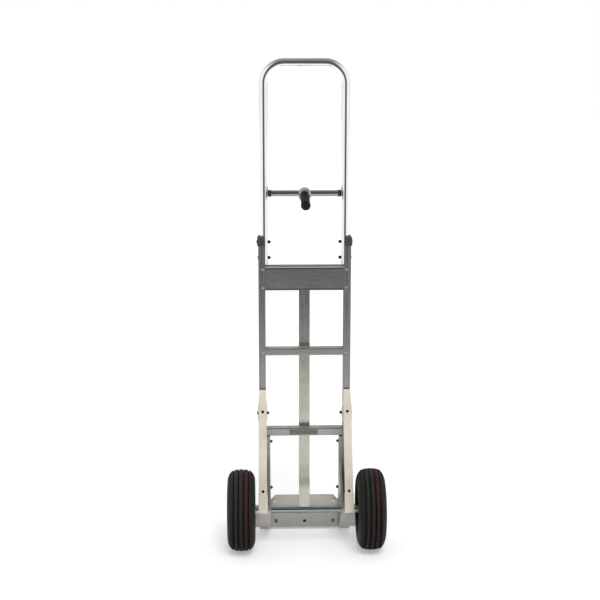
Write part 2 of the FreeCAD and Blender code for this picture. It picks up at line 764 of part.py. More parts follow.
# ---------------------------------------------------------------- nose plate
def make_nose_plate():
    """Load plate with a bevelled front edge, a ledge for the rails and a back flange."""
    body = new_body("nose")
    profile = new_sketch(body, "nose_profile", "YZ_Plane", -S["nose_width"] / 2)
    heel, front = rail_front + S["seat_gap"], rail_front + S["nose_depth"]
    outline(profile, [
        (flange_back, 0),
        (front, 0),
        (front, S["nose_thick"] - S["nose_bevel"]),
        (front - S["nose_bevel_run"], S["nose_thick"]),
        (heel, S["nose_thick"]),
        (heel, rail_bottom),
        (flange_back, rail_bottom),
    ])
    plate = pad(body, "nose_sheet", profile, S["nose_width"])
    corners = round_edges(
        body, "nose_corners", plate, S["nose_corner"],
        lambda edge: runs_along(edge, VECTOR(0, 0, 1))
        and edge.BoundBox.YMin > front.number - TOLERANCE,
    )
    body.Tip = corners
    flange = new_sketch(body, "flange_outline", "XZ_Plane", -flange_front)
    reach, notch, top = leg_face - S["seat_gap"], S["flange_notch"], S["flange_height"]
    outline(flange, [
        (-reach, 0), (reach, 0), (reach, top - notch), (reach - notch, top),
        (notch - reach, top), (-reach, top - notch),
    ])
    pad(body, "flange_sheet", flange, S["nose_thick"])
    places = [
        (x * side, level)
        for x, level in ((nose_bolt_x, S["nose_bolt_level"]),
                         (base_bolt_x, S["base_bolt_level"]))
        for side in (1, -1)
    ]
    holes_through(body, "flange_bolt_holes", "XZ_Plane", -flange_back, places, bolt_hole,
                  S["nose_thick"])
    node(body, "nose_plate")


# ---------------------------------------------------------------- loop handle
def make_loop_handle():
    """Bent tube: two legs that drop into the rails, joined by a straight top."""
    body = new_body("loop")
    path = new_sketch(body, "loop_path", "XZ_Plane", -rail_middle)
    bend = S["loop_bend"]
    top = S["loop_top"] - tube_radius
    low, spring = S["leg_bottom"], top - bend
    points = [(leg_x, low), (leg_x, spring), (leg_x - bend, top), (bend - leg_x, top),
              (-leg_x, spring), (-leg_x, low)]
    spots = [VECTOR(x.number, z.number, 0) for x, z in points]
    reach = leg_x.number - bend.number
    centre = VECTOR(reach, spring.number, 0)
    other = VECTOR(-reach, spring.number, 0)
    normal = VECTOR(0, 0, 1)
    path.addGeometry(Part.LineSegment(spots[0], spots[1]), False)
    path.addGeometry(Part.ArcOfCircle(Part.Circle(centre, normal, bend.number), 0, math.pi / 2),
                     False)
    path.addGeometry(Part.LineSegment(spots[2], spots[3]), False)
    path.addGeometry(Part.ArcOfCircle(Part.Circle(other, normal, bend.number), math.pi / 2,
                                      math.pi), False)
    path.addGeometry(Part.LineSegment(spots[4], spots[5]), False)
    for item, end, nearby, start in ((0, 2, 1, 1), (1, 2, 2, 1), (2, 2, 3, 1), (3, 2, 4, 1)):
        path.addConstraint(Sketcher.Constraint("Coincident", item, end, nearby, start))
    for item, corner, point in ((0, 1, 0), (0, 2, 1), (2, 1, 2), (2, 2, 3), (4, 1, 4), (4, 2, 5)):
        hold(path, item, corner, points[point])
    for item in (1, 3):
        rule = path.addConstraint(Sketcher.Constraint("Radius", item, bend.number))
        path.setExpression(f"Constraints[{rule}]", bend.formula)
    ring = new_sketch(body, "loop_ring", "XY_Plane", low)
    circle(ring, (leg_x, rail_middle), S["tube_diameter"])
    circle(ring, (leg_x, rail_middle), S["tube_diameter"] - 2 * S["tube_wall"])
    pipe = body.newObject("PartDesign::AdditivePipe", "loop_tube")
    pipe.Profile = ring
    pipe.Spine = (path, [f"Edge{number}" for number in range(1, 6)])
    doc.recompute()
    places = [(rail_middle, level) for level in handle_bolt_levels]
    holes_through(body, "loop_bolt_holes", "YZ_Plane", leg_x * 2, places, bolt_hole, leg_x * 4)
    node(body, "loop_handle")


def make_handle_crossbar():
    """Tube between the legs, with a hugging saddle and a dark ferrule at each end."""
    level = S["handle_bar_level"]
    saddle_face = leg_x - tube_radius - S["saddle_wall"]
    start = (-saddle_face, rail_middle, level)
    tube = rod("handle_tube", S["handle_bar_diameter"], saddle_face * 2, start, ALONG_X)
    bore_size = S["handle_bar_diameter"] - 2 * S["tube_wall"]
    bore = rod("handle_tube_bore", bore_size, saddle_face * 2, start, ALONG_X)
    whole = cut("handle_tube_hollow", tube, [bore])
    reach = rod("stub_seat", S["stub_diameter"], S["stub_length"], (0, rail_middle, level),
                ABOUT_X)
    bind(reach, "Placement.Rotation.Angle", 90 + S["grip_tilt"])
    node(cut("handle_tube_open", whole, [reach]), "handle_crossbar")
    low = level - S["saddle_height"] / 2
    outer = rod("saddle_outer", S["tube_diameter"] + 2 * S["saddle_wall"], S["saddle_height"],
                (leg_x, rail_middle, low))
    inner = rod("saddle_inner", S["tube_diameter"] + 2 * S["seat_gap"], S["saddle_height"],
                (leg_x, rail_middle, low))
    half = S["tube_diameter"]
    away = box("saddle_away", (leg_x - S["saddle_wrap"], rail_middle - half, low),
               (leg_x + half, rail_middle + half, low + S["saddle_height"]))
    saddle = cut("saddle", outer, [inner, away])
    both_in_one("handle_saddles", [saddle])
    ferrule_at = (saddle_face - S["ferrule_length"], rail_middle, level)
    ferrule = rod("ferrule_block", S["ferrule_diameter"], S["ferrule_length"], ferrule_at, ALONG_X)
    hole = rod("ferrule_bore", S["handle_bar_diameter"], S["ferrule_length"], ferrule_at, ALONG_X)
    hug = rod("ferrule_hug", S["tube_diameter"] + 2 * S["saddle_wall"], S["saddle_height"],
              (leg_x, rail_middle, low))
    both_in_one("handle_ferrules", [cut("ferrule", ferrule, [hole, hug])])


def make_grip():
    """Stub tube with a collar, set into the handle crossbar and sloping down and back."""
    root = (0, rail_middle, S["handle_bar_level"])
    pieces = {
        "stub_outer": (S["stub_diameter"], S["stub_length"]),
        "stub_inner": (S["stub_diameter"] - 2 * S["tube_wall"], S["stub_length"]),
        "collar_block": (S["collar_diameter"], S["collar_reach"]),
    }
    rods = {}
    for name, (diameter, length) in pieces.items():
        rods[name] = rod(name, diameter, length, root, ABOUT_X)
        bind(rods[name], "Placement.Rotation.Angle", 90 + S["grip_tilt"])
    solid = join("stub_block", [rods["stub_outer"], rods["collar_block"]])
    around = rod("stub_around", S["handle_bar_diameter"], S["frame_width"],
                 (-rail_outer, rail_middle, S["handle_bar_level"]), ALONG_X)
    node(cut("stub", solid, [rods["stub_inner"], around]), "grip_stub")

    body = new_body("rubber_grip")
    profile = new_sketch(body, "grip_profile", "XZ_Plane")
    start = S["collar_reach"] + S["face_gap"]
    end = start + S["grip_length"]
    outer, inner, lip = S["grip_diameter"] / 2, S["stub_diameter"] / 2, S["grip_lip"]
    outline(profile, [
        (inner, start), (outer - lip, start), (outer, start + lip), (outer, end),
        (0, end), (0, S["stub_length"]), (inner, S["stub_length"]),
    ])
    sleeve = turn(body, "grip_sleeve", profile, "V_Axis")
    body.Tip = round_edges(
        body, "grip_rounding", sleeve, S["grip_round"],
        lambda edge: isinstance(edge.Curve, Part.Circle)
        and edge.BoundBox.ZMin > end.number - TOLERANCE,
    )
    place(body, *root, ABOUT_X)
    bind(body, "Placement.Rotation.Angle", 90 + S["grip_tilt"])
    node(body, "hand_grip")


# ---------------------------------------------------------------- wheel brackets
def make_wheel_brackets():
    """Cast bracket: a leg inside the rail, an arm back to the axle boss, and a sloping foot."""
    body = new_body("wheel_bracket")
    boss_radius = S["boss_diameter"] / 2
    gap = S["seat_gap"]
    arm = new_sketch(body, "arm_outline", "YZ_Plane", leg_face)
    arm_front, arm_half = channel_back + S["leg_wall"] / 2, boss_radius - S["arm_tuck"]
    outline(arm, [
        (arm_front, S["nose_thick"]),
        (arm_front, S["arm_top"]),
        (rail_back - S["rail_depth"], S["arm_top"] - S["rail_depth"]),
        (axle_y, axle_z + arm_half),
        (axle_y, axle_z - arm_half),
        (rail_back, S["nose_thick"]),
    ])
    pad(body, "arm_plate", arm, S["arm_thick"])
    boss = new_sketch(body, "boss_outline", "YZ_Plane", leg_face)
    circle(boss, (axle_y, axle_z), S["boss_diameter"])
    pad(body, "boss", boss, bracket_face - leg_face)
    foot = new_sketch(body, "foot_outline", "YZ_Plane", leg_face)
    foot_front, start = rail_back - gap, S["foot_start"]
    outline(foot, [
        (axle_y - boss_radius * cosine(start), axle_z - boss_radius * sine(start)),
        (axle_y, axle_z - S["foot_tuck"]),
        (foot_front, S["nose_thick"] + S["foot_end"]),
        (foot_front, S["nose_thick"]),
        (foot_front - S["foot_sheet"], S["nose_thick"]),
    ])
    pad(body, "foot_web", foot, bracket_face - leg_face)
    leg = new_sketch(body, "leg_profile", "XY_Plane", rail_bottom)
    back, front, far = channel_back + gap, channel_front - gap, bar_reach
    wall = S["leg_wall"]
    outline(leg, [
        (leg_face, back), (far, back), (far, back + wall), (leg_face + wall, back + wall),
        (leg_face + wall, front - wall), (far, front - wall), (far, front), (leg_face, front),
    ])
    pad(body, "leg_channel", leg, S["leg_top"] - rail_bottom)
    holes_through(body, "axle_bore", "YZ_Plane", bracket_face, [(axle_y, axle_z)],
                  S["axle_diameter"] + 2 * S["running_gap"], bracket_face - leg_face)
    window = (axle_y + S["window_setback"], axle_z + S["window_rise"])
    holes_through(body, "arm_window", "YZ_Plane", leg_face + S["arm_thick"], [window],
                  S["window_diameter"], S["arm_thick"])
    holes_through(body, "leg_bolt_holes", "YZ_Plane", rail_inner,
                  [(rail_middle, level) for level in leg_bolt_levels], bolt_hole,
                  S["leg_inset"])
    both_sides(body, "wheel_bracket")


# ---------------------------------------------------------------- stair runners
def make_stair_runners():
    """Leaning bars behind the rails that carry the wear strips.

    Everything here is drawn about the axle with its own up direction along the runner,
    and then leaned forward as a whole.
    """
    lean = S["runner_lean"]
    boss_radius = S["boss_diameter"] / 2
    middle_x = rail_inner + S["rail_width"] / 2
    bar_face = boss_radius + S["face_gap"]
    top = (S["axle_setback"] + bar_face * cosine(lean)) / sine(lean)

    def leaned(thing):
        place(thing, middle_x, axle_y, axle_z, ABOUT_X)
        bind(thing, "Placement.Rotation.Angle", -lean)
        return thing

    def narrow_top(tapered, name, level, depth):
        """Cut the two top corners off a piece whose back face is at that level."""
        corners = new_sketch(tapered, f"{name}_corners", "XZ_Plane", level)
        high = top + S["runner_tip"]
        for side in (1, -1):
            edge, tip = S["runner_width"] / 2 * side, S["strip_tip"] / 2 * side
            outline(corners, [(edge, top - S["strip_taper"]), (edge, high), (tip, high)])
        return pocket(tapered, f"{name}_taper", corners, depth)

    body = new_body("runner")
    side_view = new_sketch(body, "runner_outline", "YZ_Plane", -S["runner_width"] / 2)
    thick = S["runner_sheet"]
    outline(side_view, [
        (-bar_face, -S["foot_drop"]), (-bar_face, top),
        (-bar_face - thick, top + S["runner_tip"]), (-bar_face - thick, -S["foot_drop"]),
    ])
    pad(body, "runner_bar", side_view, S["runner_width"])
    narrow_top(body, "runner", bar_face + thick, thick)
    leaned(body)
    rail_side = S["rail_width"] / 2 + S["seat_gap"]
    bolt_up = (S["ear_level"] - axle_z) * cosine(lean) + (rail_middle - axle_y) * sine(lean)
    bolt_out = (rail_middle - axle_y) * cosine(lean) - (S["ear_level"] - axle_z) * sine(lean)
    half = S["ear_half"]
    ear_back, ear_front = -bar_face - thick / 2, bolt_out + S["ear_reach"]
    for number, side in enumerate((1, -1), start=1):
        inner_edge = rail_side if side > 0 else -(rail_side + S["ear_thick"])
        ear = new_sketch(body, f"ear_outline_{number}", "YZ_Plane", inner_edge)
        outline(ear, [
            (ear_back, bolt_up - S["ear_foot"]),
            (ear_front, bolt_up - half),
            (ear_front, bolt_up + half),
            (ear_back, bolt_up + S["ear_head"]),
        ])
        pad(body, f"ear_{number}", ear, S["ear_thick"])
    holes_through(body, "ear_holes", "YZ_Plane", S["runner_width"], [(bolt_out, bolt_up)],
                  bolt_hole, S["runner_width"] * 2)
    screw_ups = [S["foot_seam"] + S["screw_low"], bolt_up - S["screw_high"]]
    holes_through(body, "runner_screw_holes", "XZ_Plane", bar_face + thick,
                  [(0, up) for up in screw_ups], rivet_hole, thick)
    both_sides(body, "stair_runner")

    def wear_piece(name, width, low, high, thickness, tapers=False):
        """A pale block on the runner's back face, with its outer edges rounded."""
        block_body = new_body(name)
        view = new_sketch(block_body, f"{name}_outline", "YZ_Plane", -width / 2)
        back = -bar_face - thick
        outline(view, [(back, low), (back, high), (back - thickness, high),
                       (back - thickness, low)])
        block = pad(block_body, f"{name}_block", view, width)
        if tapers:
            block = narrow_top(block_body, name, thickness - back, thickness)
        far_face = (back - thickness).number
        block_body.Tip = round_edges(
            block_body, f"{name}_rounding", block, S["strip_edge"],
            lambda edge: edge.BoundBox.YMax < far_face + TOLERANCE,
        )
        leaned(block_body)
        return block_body

    strip = wear_piece("strip", S["runner_width"], S["foot_seam"], top, S["strip_thick"],
                       tapers=True)
    strip_back = bar_face + thick + S["strip_thick"]
    holes_through(strip, "strip_screw_holes", "XZ_Plane", strip_back,
                  [(0, up) for up in screw_ups], rivet_hole, S["strip_thick"])
    seat_size, head_height = S["screw_diameter"] + 2 * S["screw_gap"], S["screw_head"]
    holes_through(strip, "strip_head_seats", "XZ_Plane", strip_back,
                  [(0, up) for up in screw_ups], seat_size, head_height)
    both_sides(strip, "wear_strip")
    both_sides(wear_piece("foot_block", S["strip_foot_width"], -S["foot_drop"], S["foot_seam"],
                          S["strip_foot_thick"]), "wear_block")

    screws = []
    for number, up in enumerate(screw_ups, start=1):
        screw_body = new_body(f"strip_screw_{number}")
        half_view = new_sketch(screw_body, f"screw_profile_{number}", "XZ_Plane")
        long_end = S["strip_thick"] + thick + S["screw_end"]
        head, shank, edge = S["screw_diameter"] / 2, S["rivet_shank"] / 2, S["screw_edge"]
        outline(half_view, [(0, 0), (head - edge, 0), (head, edge), (head, head_height),
                            (shank, head_height), (shank, long_end), (0, long_end)])
        turn(screw_body, f"screw_{number}", half_view, "V_Axis")
        seat_y = axle_y - strip_back * cosine(lean) + up * sine(lean)
        seat_z = axle_z + up * cosine(lean) + strip_back * sine(lean)
        place(screw_body, middle_x, seat_y, seat_z, ABOUT_X)
        bind(screw_body, "Placement.Rotation.Angle", -90 - lean)
        screws.append(screw_body)
    both_in_one("strip_screws", screws)
    runner_half = rail_side + S["ear_thick"]
    at = (middle_x + runner_half, rail_middle, S["ear_level"])
    grip = runner_half * 2 + S["nut_height"] + S["bolt_end"]
    ear_bolt = bolt("ear_bolt", at, ALONG_MINUS_X, grip)
    ear_nut = nut("ear_nut", (middle_x - runner_half, rail_middle, S["ear_level"]), ALONG_MINUS_X)
    return ear_bolt, ear_nut


# ---------------------------------------------------------------- fasteners
def make_fasteners(ear_bolt, ear_nut):
    """Handle, bracket and nose bolts with their nuts, and the rivets of the cross members."""
    bolts, nuts = [], []
    leg_inside = leg_x - tube_radius
    seats = ((cap_outer, S["handle_bolt_high"]), (rail_outer, S["handle_bolt_low"]))
    for number, (outside, level) in enumerate(seats, start=1):
        at = (outside, rail_middle, level)
        grip = outside - leg_inside + S["nut_height"] + S["bolt_end"]
        bolts.append(bolt(f"handle_bolt_{number}", at, ALONG_MINUS_X, grip, low=True))
        seat = (leg_inside, rail_middle, level)
        nuts.append(nut(f"handle_nut_{number}", seat, ALONG_MINUS_X))
    both_in_one("handle_bolts", bolts)
    both_in_one("handle_nuts", nuts)

    bolts, nuts = [ear_bolt], [ear_nut]
    for number, level in enumerate(leg_bolt_levels, start=1):
        at = (rail_outer, rail_middle, level)
        grip = rail_outer - leg_face + S["nut_height"] + S["bolt_end"]
        bolts.append(bolt(f"leg_bolt_{number}", at, ALONG_MINUS_X, grip, low=True))
        seat = (leg_face, rail_middle, level)
        nuts.append(nut(f"leg_nut_{number}", seat, ALONG_MINUS_X))
    both_in_one("bracket_bolts", bolts)
    both_in_one("bracket_nuts", nuts)

    bolts, nuts = [], []
    seats = (
        (nose_bolt_x, S["nose_bolt_level"], flange_back),
        (base_bolt_x, S["base_bolt_level"], rail_back),
    )
    for number, (x, level, back) in enumerate(seats, start=1):
        grip = flange_front - back + S["nut_height"] + S["short_bolt_end"]
        bolts.append(bolt(f"nose_bolt_{number}", (x, back, level), ALONG_Y, grip))
        nuts.append(nut(f"nose_nut_{number}", (x, flange_front, level), ALONG_Y))
    both_in_one("nose_bolts", bolts)
    both_in_one("nose_nuts", nuts)

    rail_rivets = [
        rivet(f"rail_rivet_{number}", (rail_rivet_x, rail_back, level), ALONG_Y,
              S["rail_lip"] + S["bar_wall"])
        for number, level in enumerate(rivet_levels, start=1)
    ]
    both_in_one("rail_rivets", rail_rivets)
    strap_front = channel_front + S["strap_thick"]
    strap_rivets = [
        rivet(f"strap_rivet_{number}", (0, strap_front, level), ALONG_MINUS_Y,
              S["strap_thick"] + S["bar_wall"])
        for number, level in enumerate(strap_rivet_levels, start=1)
    ]
    node(group("strap_rivet_group", strap_rivets), "strap_rivets")


# ---------------------------------------------------------------- axle and wheels
def make_axle():
    """Plain axle through both brackets, with spacers inside and washers and pins outside."""
    diameter = S["axle_diameter"]
    washer_x = wheel_x + S["hub_length"] / 2 + S["face_gap"]
    pin_size, pin_reach = S["pin_diameter"], S["pin_reach"]
    pin_x = washer_x + S["washer_thick"] + pin_size / 2 + S["pin_gap"]
    reach = pin_x + S["axle_end"]
    bar = rod("axle_bar", diameter, reach * 2, (-reach, axle_y, axle_z), ALONG_X)
    holes = [
        rod(f"pin_hole_{number}", pin_size + 2 * S["pin_gap"], diameter * 2,
            (pin_x * side, axle_y, axle_z - diameter))
        for number, side in enumerate((1, -1), start=1)
    ]
    node(cut("axle_drilled", bar, holes), "axle")
    at, length = (bracket_face, axle_y, axle_z), S["spacer_length"]
    spacer = rod("spacer_block", diameter + 2 * S["spacer_wall"], length, at, ALONG_X)
    loose = diameter + 2 * S["running_gap"]
    bore = rod("spacer_bore", loose, length, at, ALONG_X)
    both_in_one("axle_spacers", [cut("spacer", spacer, [bore])])
    washer_at = (washer_x, axle_y, axle_z)
    washer_size = diameter + 2 * S["washer_rim"]
    washer = rod("washer_block", washer_size, S["washer_thick"], washer_at, ALONG_X)
    washer_bore = rod("washer_bore", loose, S["washer_thick"], washer_at, ALONG_X)
    both_in_one("axle_washers", [cut("washer", washer, [washer_bore])])
    pin = rod("pin_shank", pin_size, pin_reach * 2, (pin_x, axle_y, axle_z - pin_reach))
    eye = doc.addObject("Part::Torus", "pin_eye")
    bind(eye, "Radius1", S["pin_eye"] / 2)
    bind(eye, "Radius2", S["pin_eye_wire"] / 2)
    place(eye, pin_x, axle_y, axle_z + pin_reach + S["pin_eye"] / 2, ALONG_X)
    both_in_one("cotter_pins", [join("pin", [pin, eye])])


def make_ring(name, points, x=wheel_x):
    """A body turned about the axle from points given as offset along it and radius."""
    body = new_body(name)
    profile = new_sketch(body, f"{name}_profile", "XZ_Plane")
    outline(profile, points)
    turn(body, f"{name}_turned", profile, "H_Axis")
    place(body, x, axle_y, axle_z)
    return body


def side_wall(half, low, high):
    """Points of a squared-off oval, widest below its middle, from its top down its side."""
    middle = low + (high - low) * SIDE_MIDDLE
    points = []
    for step in range(-SIDE_STEPS, SIDE_STEPS + 1):
        turned = math.radians(-SIDE_TURN * step / SIDE_STEPS)
        across = math.cos(turned) ** SIDE_SQUARENESS
        reach = high - middle if turned > 0 else middle - low
        points.append((half * round(across, 6), middle + reach * round(math.sin(turned), 6)))
    return points


def tyre_cavity(inset=0):
    """Half of the cavity's section, or of what lies in it with a clearance all round."""
    wall = S["tyre_wall"]
    low = S["rim_edge"] / 2 + S["bead_lip"] + wall / 2 + inset
    high = S["tyre_diameter"] / 2 - S["tread_wall"] - inset
    return side_wall(S["tyre_width"] / 2 - wall - inset, low, high)


def with_mirror_image(right):
    """A whole section from its right half."""
    return right + [(-x, radius) for x, radius in reversed(right)]


def tyre_points():
    """The tyre's whole section: grooved tread, side walls, beads and cavity."""
    half, outer = S["tyre_width"] / 2, S["tyre_diameter"] / 2
    seat, wall, edge = S["bead_seat"] / 2, S["tyre_wall"], S["rim_edge"] / 2
    bead = S["rim_width"] / 2 - S["rim_sheet"] - S["seat_gap"]
    depth, groove = S["tread_groove"], S["tread_groove_width"] / 2
    outside = []
    for middle, drop in ((S["tread_rib"] / 2, 0), (S["tread_rib"] * 3 / 2, S["tread_drop"])):
        top = outer - drop
        outside += [(middle - groove, top), (middle - groove, top - depth),
                    (middle + groove, top - depth), (middle + groove, top)]
    outside += side_wall(half, edge + S["bead_lip"], outer)
    outside += [(bead, edge + S["bead_lip"]), (bead, seat)]
    inside = [(bead - wall, seat)] + list(reversed(tyre_cavity()))
    return with_mirror_image(outside + inside)


def make_air_tube():
    """Thin ring of rubber that fills the tyre's cavity, with the air inside it."""
    gap, skin = S["tube_gap"], S["tube_skin"]
    outside = make_ring("tube_outside", with_mirror_image(tyre_cavity(gap)))
    inside = make_ring("tube_inside", with_mirror_image(tyre_cavity(gap + skin)))
    return cut("tube_shell", outside, [inside])


def rim_bolt_places():
    """Offsets of the rim bolts from the axle, evenly round their circle."""
    places = []
    for number in range(RIM_BOLTS):
        turned = 2 * math.pi * (number + 1 / 2) / RIM_BOLTS
        radius = S["rim_bolt_circle"] / 2
        places.append((radius * round(math.cos(turned), 6), radius * round(math.sin(turned), 6)))
    return places


def make_right_wheel():
    """Tyre, air tube, two rim halves, hub tube, bearings, rim bolts and valve, by node name."""
    half_hub, sheet_thick = S["hub_length"] / 2, S["rim_sheet"]
    hub_radius = S["hub_diameter"] / 2
    bearing_radius = S["bearing_diameter"] / 2
    seat_depth = S["bearing_width"] + S["bearing_relief"]
    shoulder = bearing_radius - S["hub_shoulder"]
    on_hub = hub_radius + S["running_gap"]
    pieces = {"tyre": make_ring("tyre_casing", tyre_points()), "inner_tube": make_air_tube()}

    rim_half = S["rim_width"] / 2
    edge, seat = S["rim_edge"] / 2, S["bead_seat"] / 2
    drum = seat - S["seat_gap"]
    disc = [
        (0, on_hub), (0, drum), (rim_half - sheet_thick, drum),
        (rim_half - sheet_thick, edge), (rim_half, edge), (rim_half, drum - sheet_thick),
        (sheet_thick, drum - sheet_thick), (sheet_thick, on_hub),
    ]
    for name, side in (("rim_outer_half", 1), ("rim_inner_half", -1)):
        body = make_ring(name, [(x * side, radius) for x, radius in disc])
        level = sheet_thick if side > 0 else 0
        holes_through(body, f"{name}_bolt_holes", "YZ_Plane", level, rim_bolt_places(),
                      bolt_hole, sheet_thick)
        if side > 0:
            holes_through(body, "valve_hole", "XY_Plane", drum + sheet_thick,
                          [(rim_half / 2, 0)], S["valve_diameter"] + 2 * S["hole_gap"],
                          sheet_thick * 3)
        pieces[name] = body

    pieces["hub"] = make_ring("hub_tube", [
        (-half_hub, bearing_radius), (-half_hub, hub_radius), (half_hub, hub_radius),
        (half_hub, bearing_radius), (half_hub - seat_depth, bearing_radius),
        (half_hub - seat_depth, shoulder), (seat_depth - half_hub, shoulder),
        (seat_depth - half_hub, bearing_radius),
    ])

    bore = S["axle_diameter"] / 2 + S["running_gap"]
    near, far = half_hub - S["bearing_width"], half_hub
    shield = far - S["shield_dip"]
    inner_edge, outer_edge = bore + S["inner_race"], bearing_radius - S["outer_race"]
    bearings = []
    for name, side in (("bearing_outer", 1), ("bearing_inner", -1)):
        ring = [(near, bore), (near, bearing_radius), (far, bearing_radius), (far, outer_edge),
                (shield, outer_edge), (shield, inner_edge), (far, inner_edge), (far, bore)]
        bearings.append(make_ring(name, [(x * side, radius) for x, radius in ring]))
    pieces["bearings"] = group("bearing_pair", bearings)

    bolts, nuts = [], []
    grip = sheet_thick * 2 + S["nut_height"] + S["short_bolt_end"]
    for number, (forward, up) in enumerate(rim_bolt_places(), start=1):
        y, z = axle_y + forward, axle_z + up
        bolts.append(bolt(f"rim_bolt_{number}", (wheel_x + sheet_thick, y, z), ALONG_MINUS_X, grip))
        nuts.append(nut(f"rim_nut_{number}", (wheel_x - sheet_thick, y, z), ALONG_MINUS_X))
    pieces["rim_bolts"] = group("rim_bolt_set", bolts)
    pieces["rim_nuts"] = group("rim_nut_set", nuts)
    valve_top = tyre_cavity(S["tube_gap"])[-1][1] - S["seat_gap"]
    valve_at = (wheel_x + rim_half / 2, axle_y, axle_z + valve_top - S["valve_length"])
    pieces["valve_stem"] = rod("valve", S["valve_diameter"], S["valve_length"], valve_at)
    return pieces


# ---------------------------------------------------------------- the whole truck
make_side_rails()
make_rail_caps()
make_top_panel()
make_crossbar("middle_crossbar", S["middle_bar_level"], S["middle_bar_height"])
make_crossbar("lower_crossbar", S["lower_bar_level"], S["lower_bar_height"])
make_base_crossbar()
make_center_strap()
make_blank_plate()
make_nose_plate()
make_loop_handle()
make_handle_crossbar()
make_grip()
make_wheel_brackets()
make_fasteners(*make_stair_runners())
make_axle()
for wheel_piece, thing in make_right_wheel().items():
    node(thing, f"right_{wheel_piece}")
    node(mirror(f"{wheel_piece}_mirror", thing), f"left_{wheel_piece}")

doc.recompute()
for item in doc.Objects:
    if "Invalid" in item.State or "Error" in item.State:
        raise ValueError(f"{item.Label} failed: {item.State}")
os.makedirs("parts", exist_ok=True)
for item in NODES:
    if item.Shape.isNull() or not item.Shape.isValid():
        raise ValueError(f"{item.Label} has no valid shape")
for item in NODES:
    item.Shape.exportStep(f"parts/{item.Label}.step")
print(f"{len(NODES)} nodes written")
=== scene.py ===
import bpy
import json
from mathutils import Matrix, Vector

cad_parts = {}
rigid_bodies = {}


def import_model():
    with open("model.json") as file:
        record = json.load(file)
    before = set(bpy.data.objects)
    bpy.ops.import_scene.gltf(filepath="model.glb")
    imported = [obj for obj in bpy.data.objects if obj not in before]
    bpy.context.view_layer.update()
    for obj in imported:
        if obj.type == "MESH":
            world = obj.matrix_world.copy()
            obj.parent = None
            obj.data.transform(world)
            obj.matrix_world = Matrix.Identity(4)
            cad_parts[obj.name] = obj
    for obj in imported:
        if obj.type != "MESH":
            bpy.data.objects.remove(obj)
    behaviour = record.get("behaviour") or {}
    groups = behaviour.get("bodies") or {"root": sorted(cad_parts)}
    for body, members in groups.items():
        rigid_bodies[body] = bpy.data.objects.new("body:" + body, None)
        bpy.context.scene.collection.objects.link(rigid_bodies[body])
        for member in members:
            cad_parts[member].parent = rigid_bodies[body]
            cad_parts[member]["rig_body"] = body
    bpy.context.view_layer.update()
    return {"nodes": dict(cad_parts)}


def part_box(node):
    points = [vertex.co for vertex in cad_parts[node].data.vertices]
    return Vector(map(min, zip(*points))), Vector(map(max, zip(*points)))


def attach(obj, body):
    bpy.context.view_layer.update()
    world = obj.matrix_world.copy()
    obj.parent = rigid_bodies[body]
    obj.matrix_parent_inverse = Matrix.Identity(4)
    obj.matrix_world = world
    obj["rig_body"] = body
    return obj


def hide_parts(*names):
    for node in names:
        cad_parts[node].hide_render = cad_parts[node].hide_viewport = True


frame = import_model()

"""Two-wheel aluminium hand truck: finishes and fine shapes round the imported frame.

Lengths are in metres and angles in degrees.  +X is to the right for someone standing behind
the truck, +Y points towards the load and +Z up.
"""
import json
import logging
import math
from collections.abc import Callable
from dataclasses import dataclass, field
from enum import Enum
from functools import cache

import bmesh
import bpy
from mathutils import Matrix, Vector

logging.basicConfig(level=logging.INFO, format="%(message)s")
LOG = logging.getLogger("hand_truck")

MM = 0.001
PLACES = 5              # decimals, in metres, to which places are compared
MERGE = 1e-6            # points nearer than this are one
FLAT_ANGLE = 0.6        # neighbouring faces that turn less than this are one flat face
SMOOTH_ANGLE = 48.0     # edges that turn more than this are shown sharp
SHARP_ANGLE = 50.0      # edges that turn more than this may be rounded
SHORTEST_EDGE = 0.004   # edges below this length are left as they are

Colour = tuple[int, int, int]
Shade = tuple[float, float, float, float]
Profile = list[tuple[float, float]]
Shape = bmesh.types.BMesh
Socket = bpy.types.NodeSocket
Number = Socket | float
Value = Number | tuple | list


class Axis(Enum):
    """The direction that a finish's grain or a turned piece follows."""

    X = (1.0, 0.0, 0.0)
    Y = (0.0, 1.0, 0.0)
    Z = (0.0, 0.0, 1.0)

    @property
    def vector(self) -> Vector:
        """The axis as a vector."""
        return Vector(self.value)


# ------------------------------------------------------------------ shader building
def linear(colour: Colour) -> Shade:
    """Turn a screen's colour, from 0 to 255, into the four numbers of a shader's socket.

    Args:
        colour: its red, green and blue.

    Returns:
        The linear channels, and an alpha of 1.
    """
    def one(value: int) -> float:
        """One channel, by the sRGB curve."""
        share = value / 255
        return share / 12.92 if share <= 0.04045 else ((share + 0.055) / 1.055) ** 2.4

    return one(colour[0]), one(colour[1]), one(colour[2]), 1.0


def dimmed(shade: Shade, share: float) -> Shade:
    """A shader's colour with its light cut to a share."""
    red, green, blue = (part * share for part in shade[:3])
    return red, green, blue, 1.0


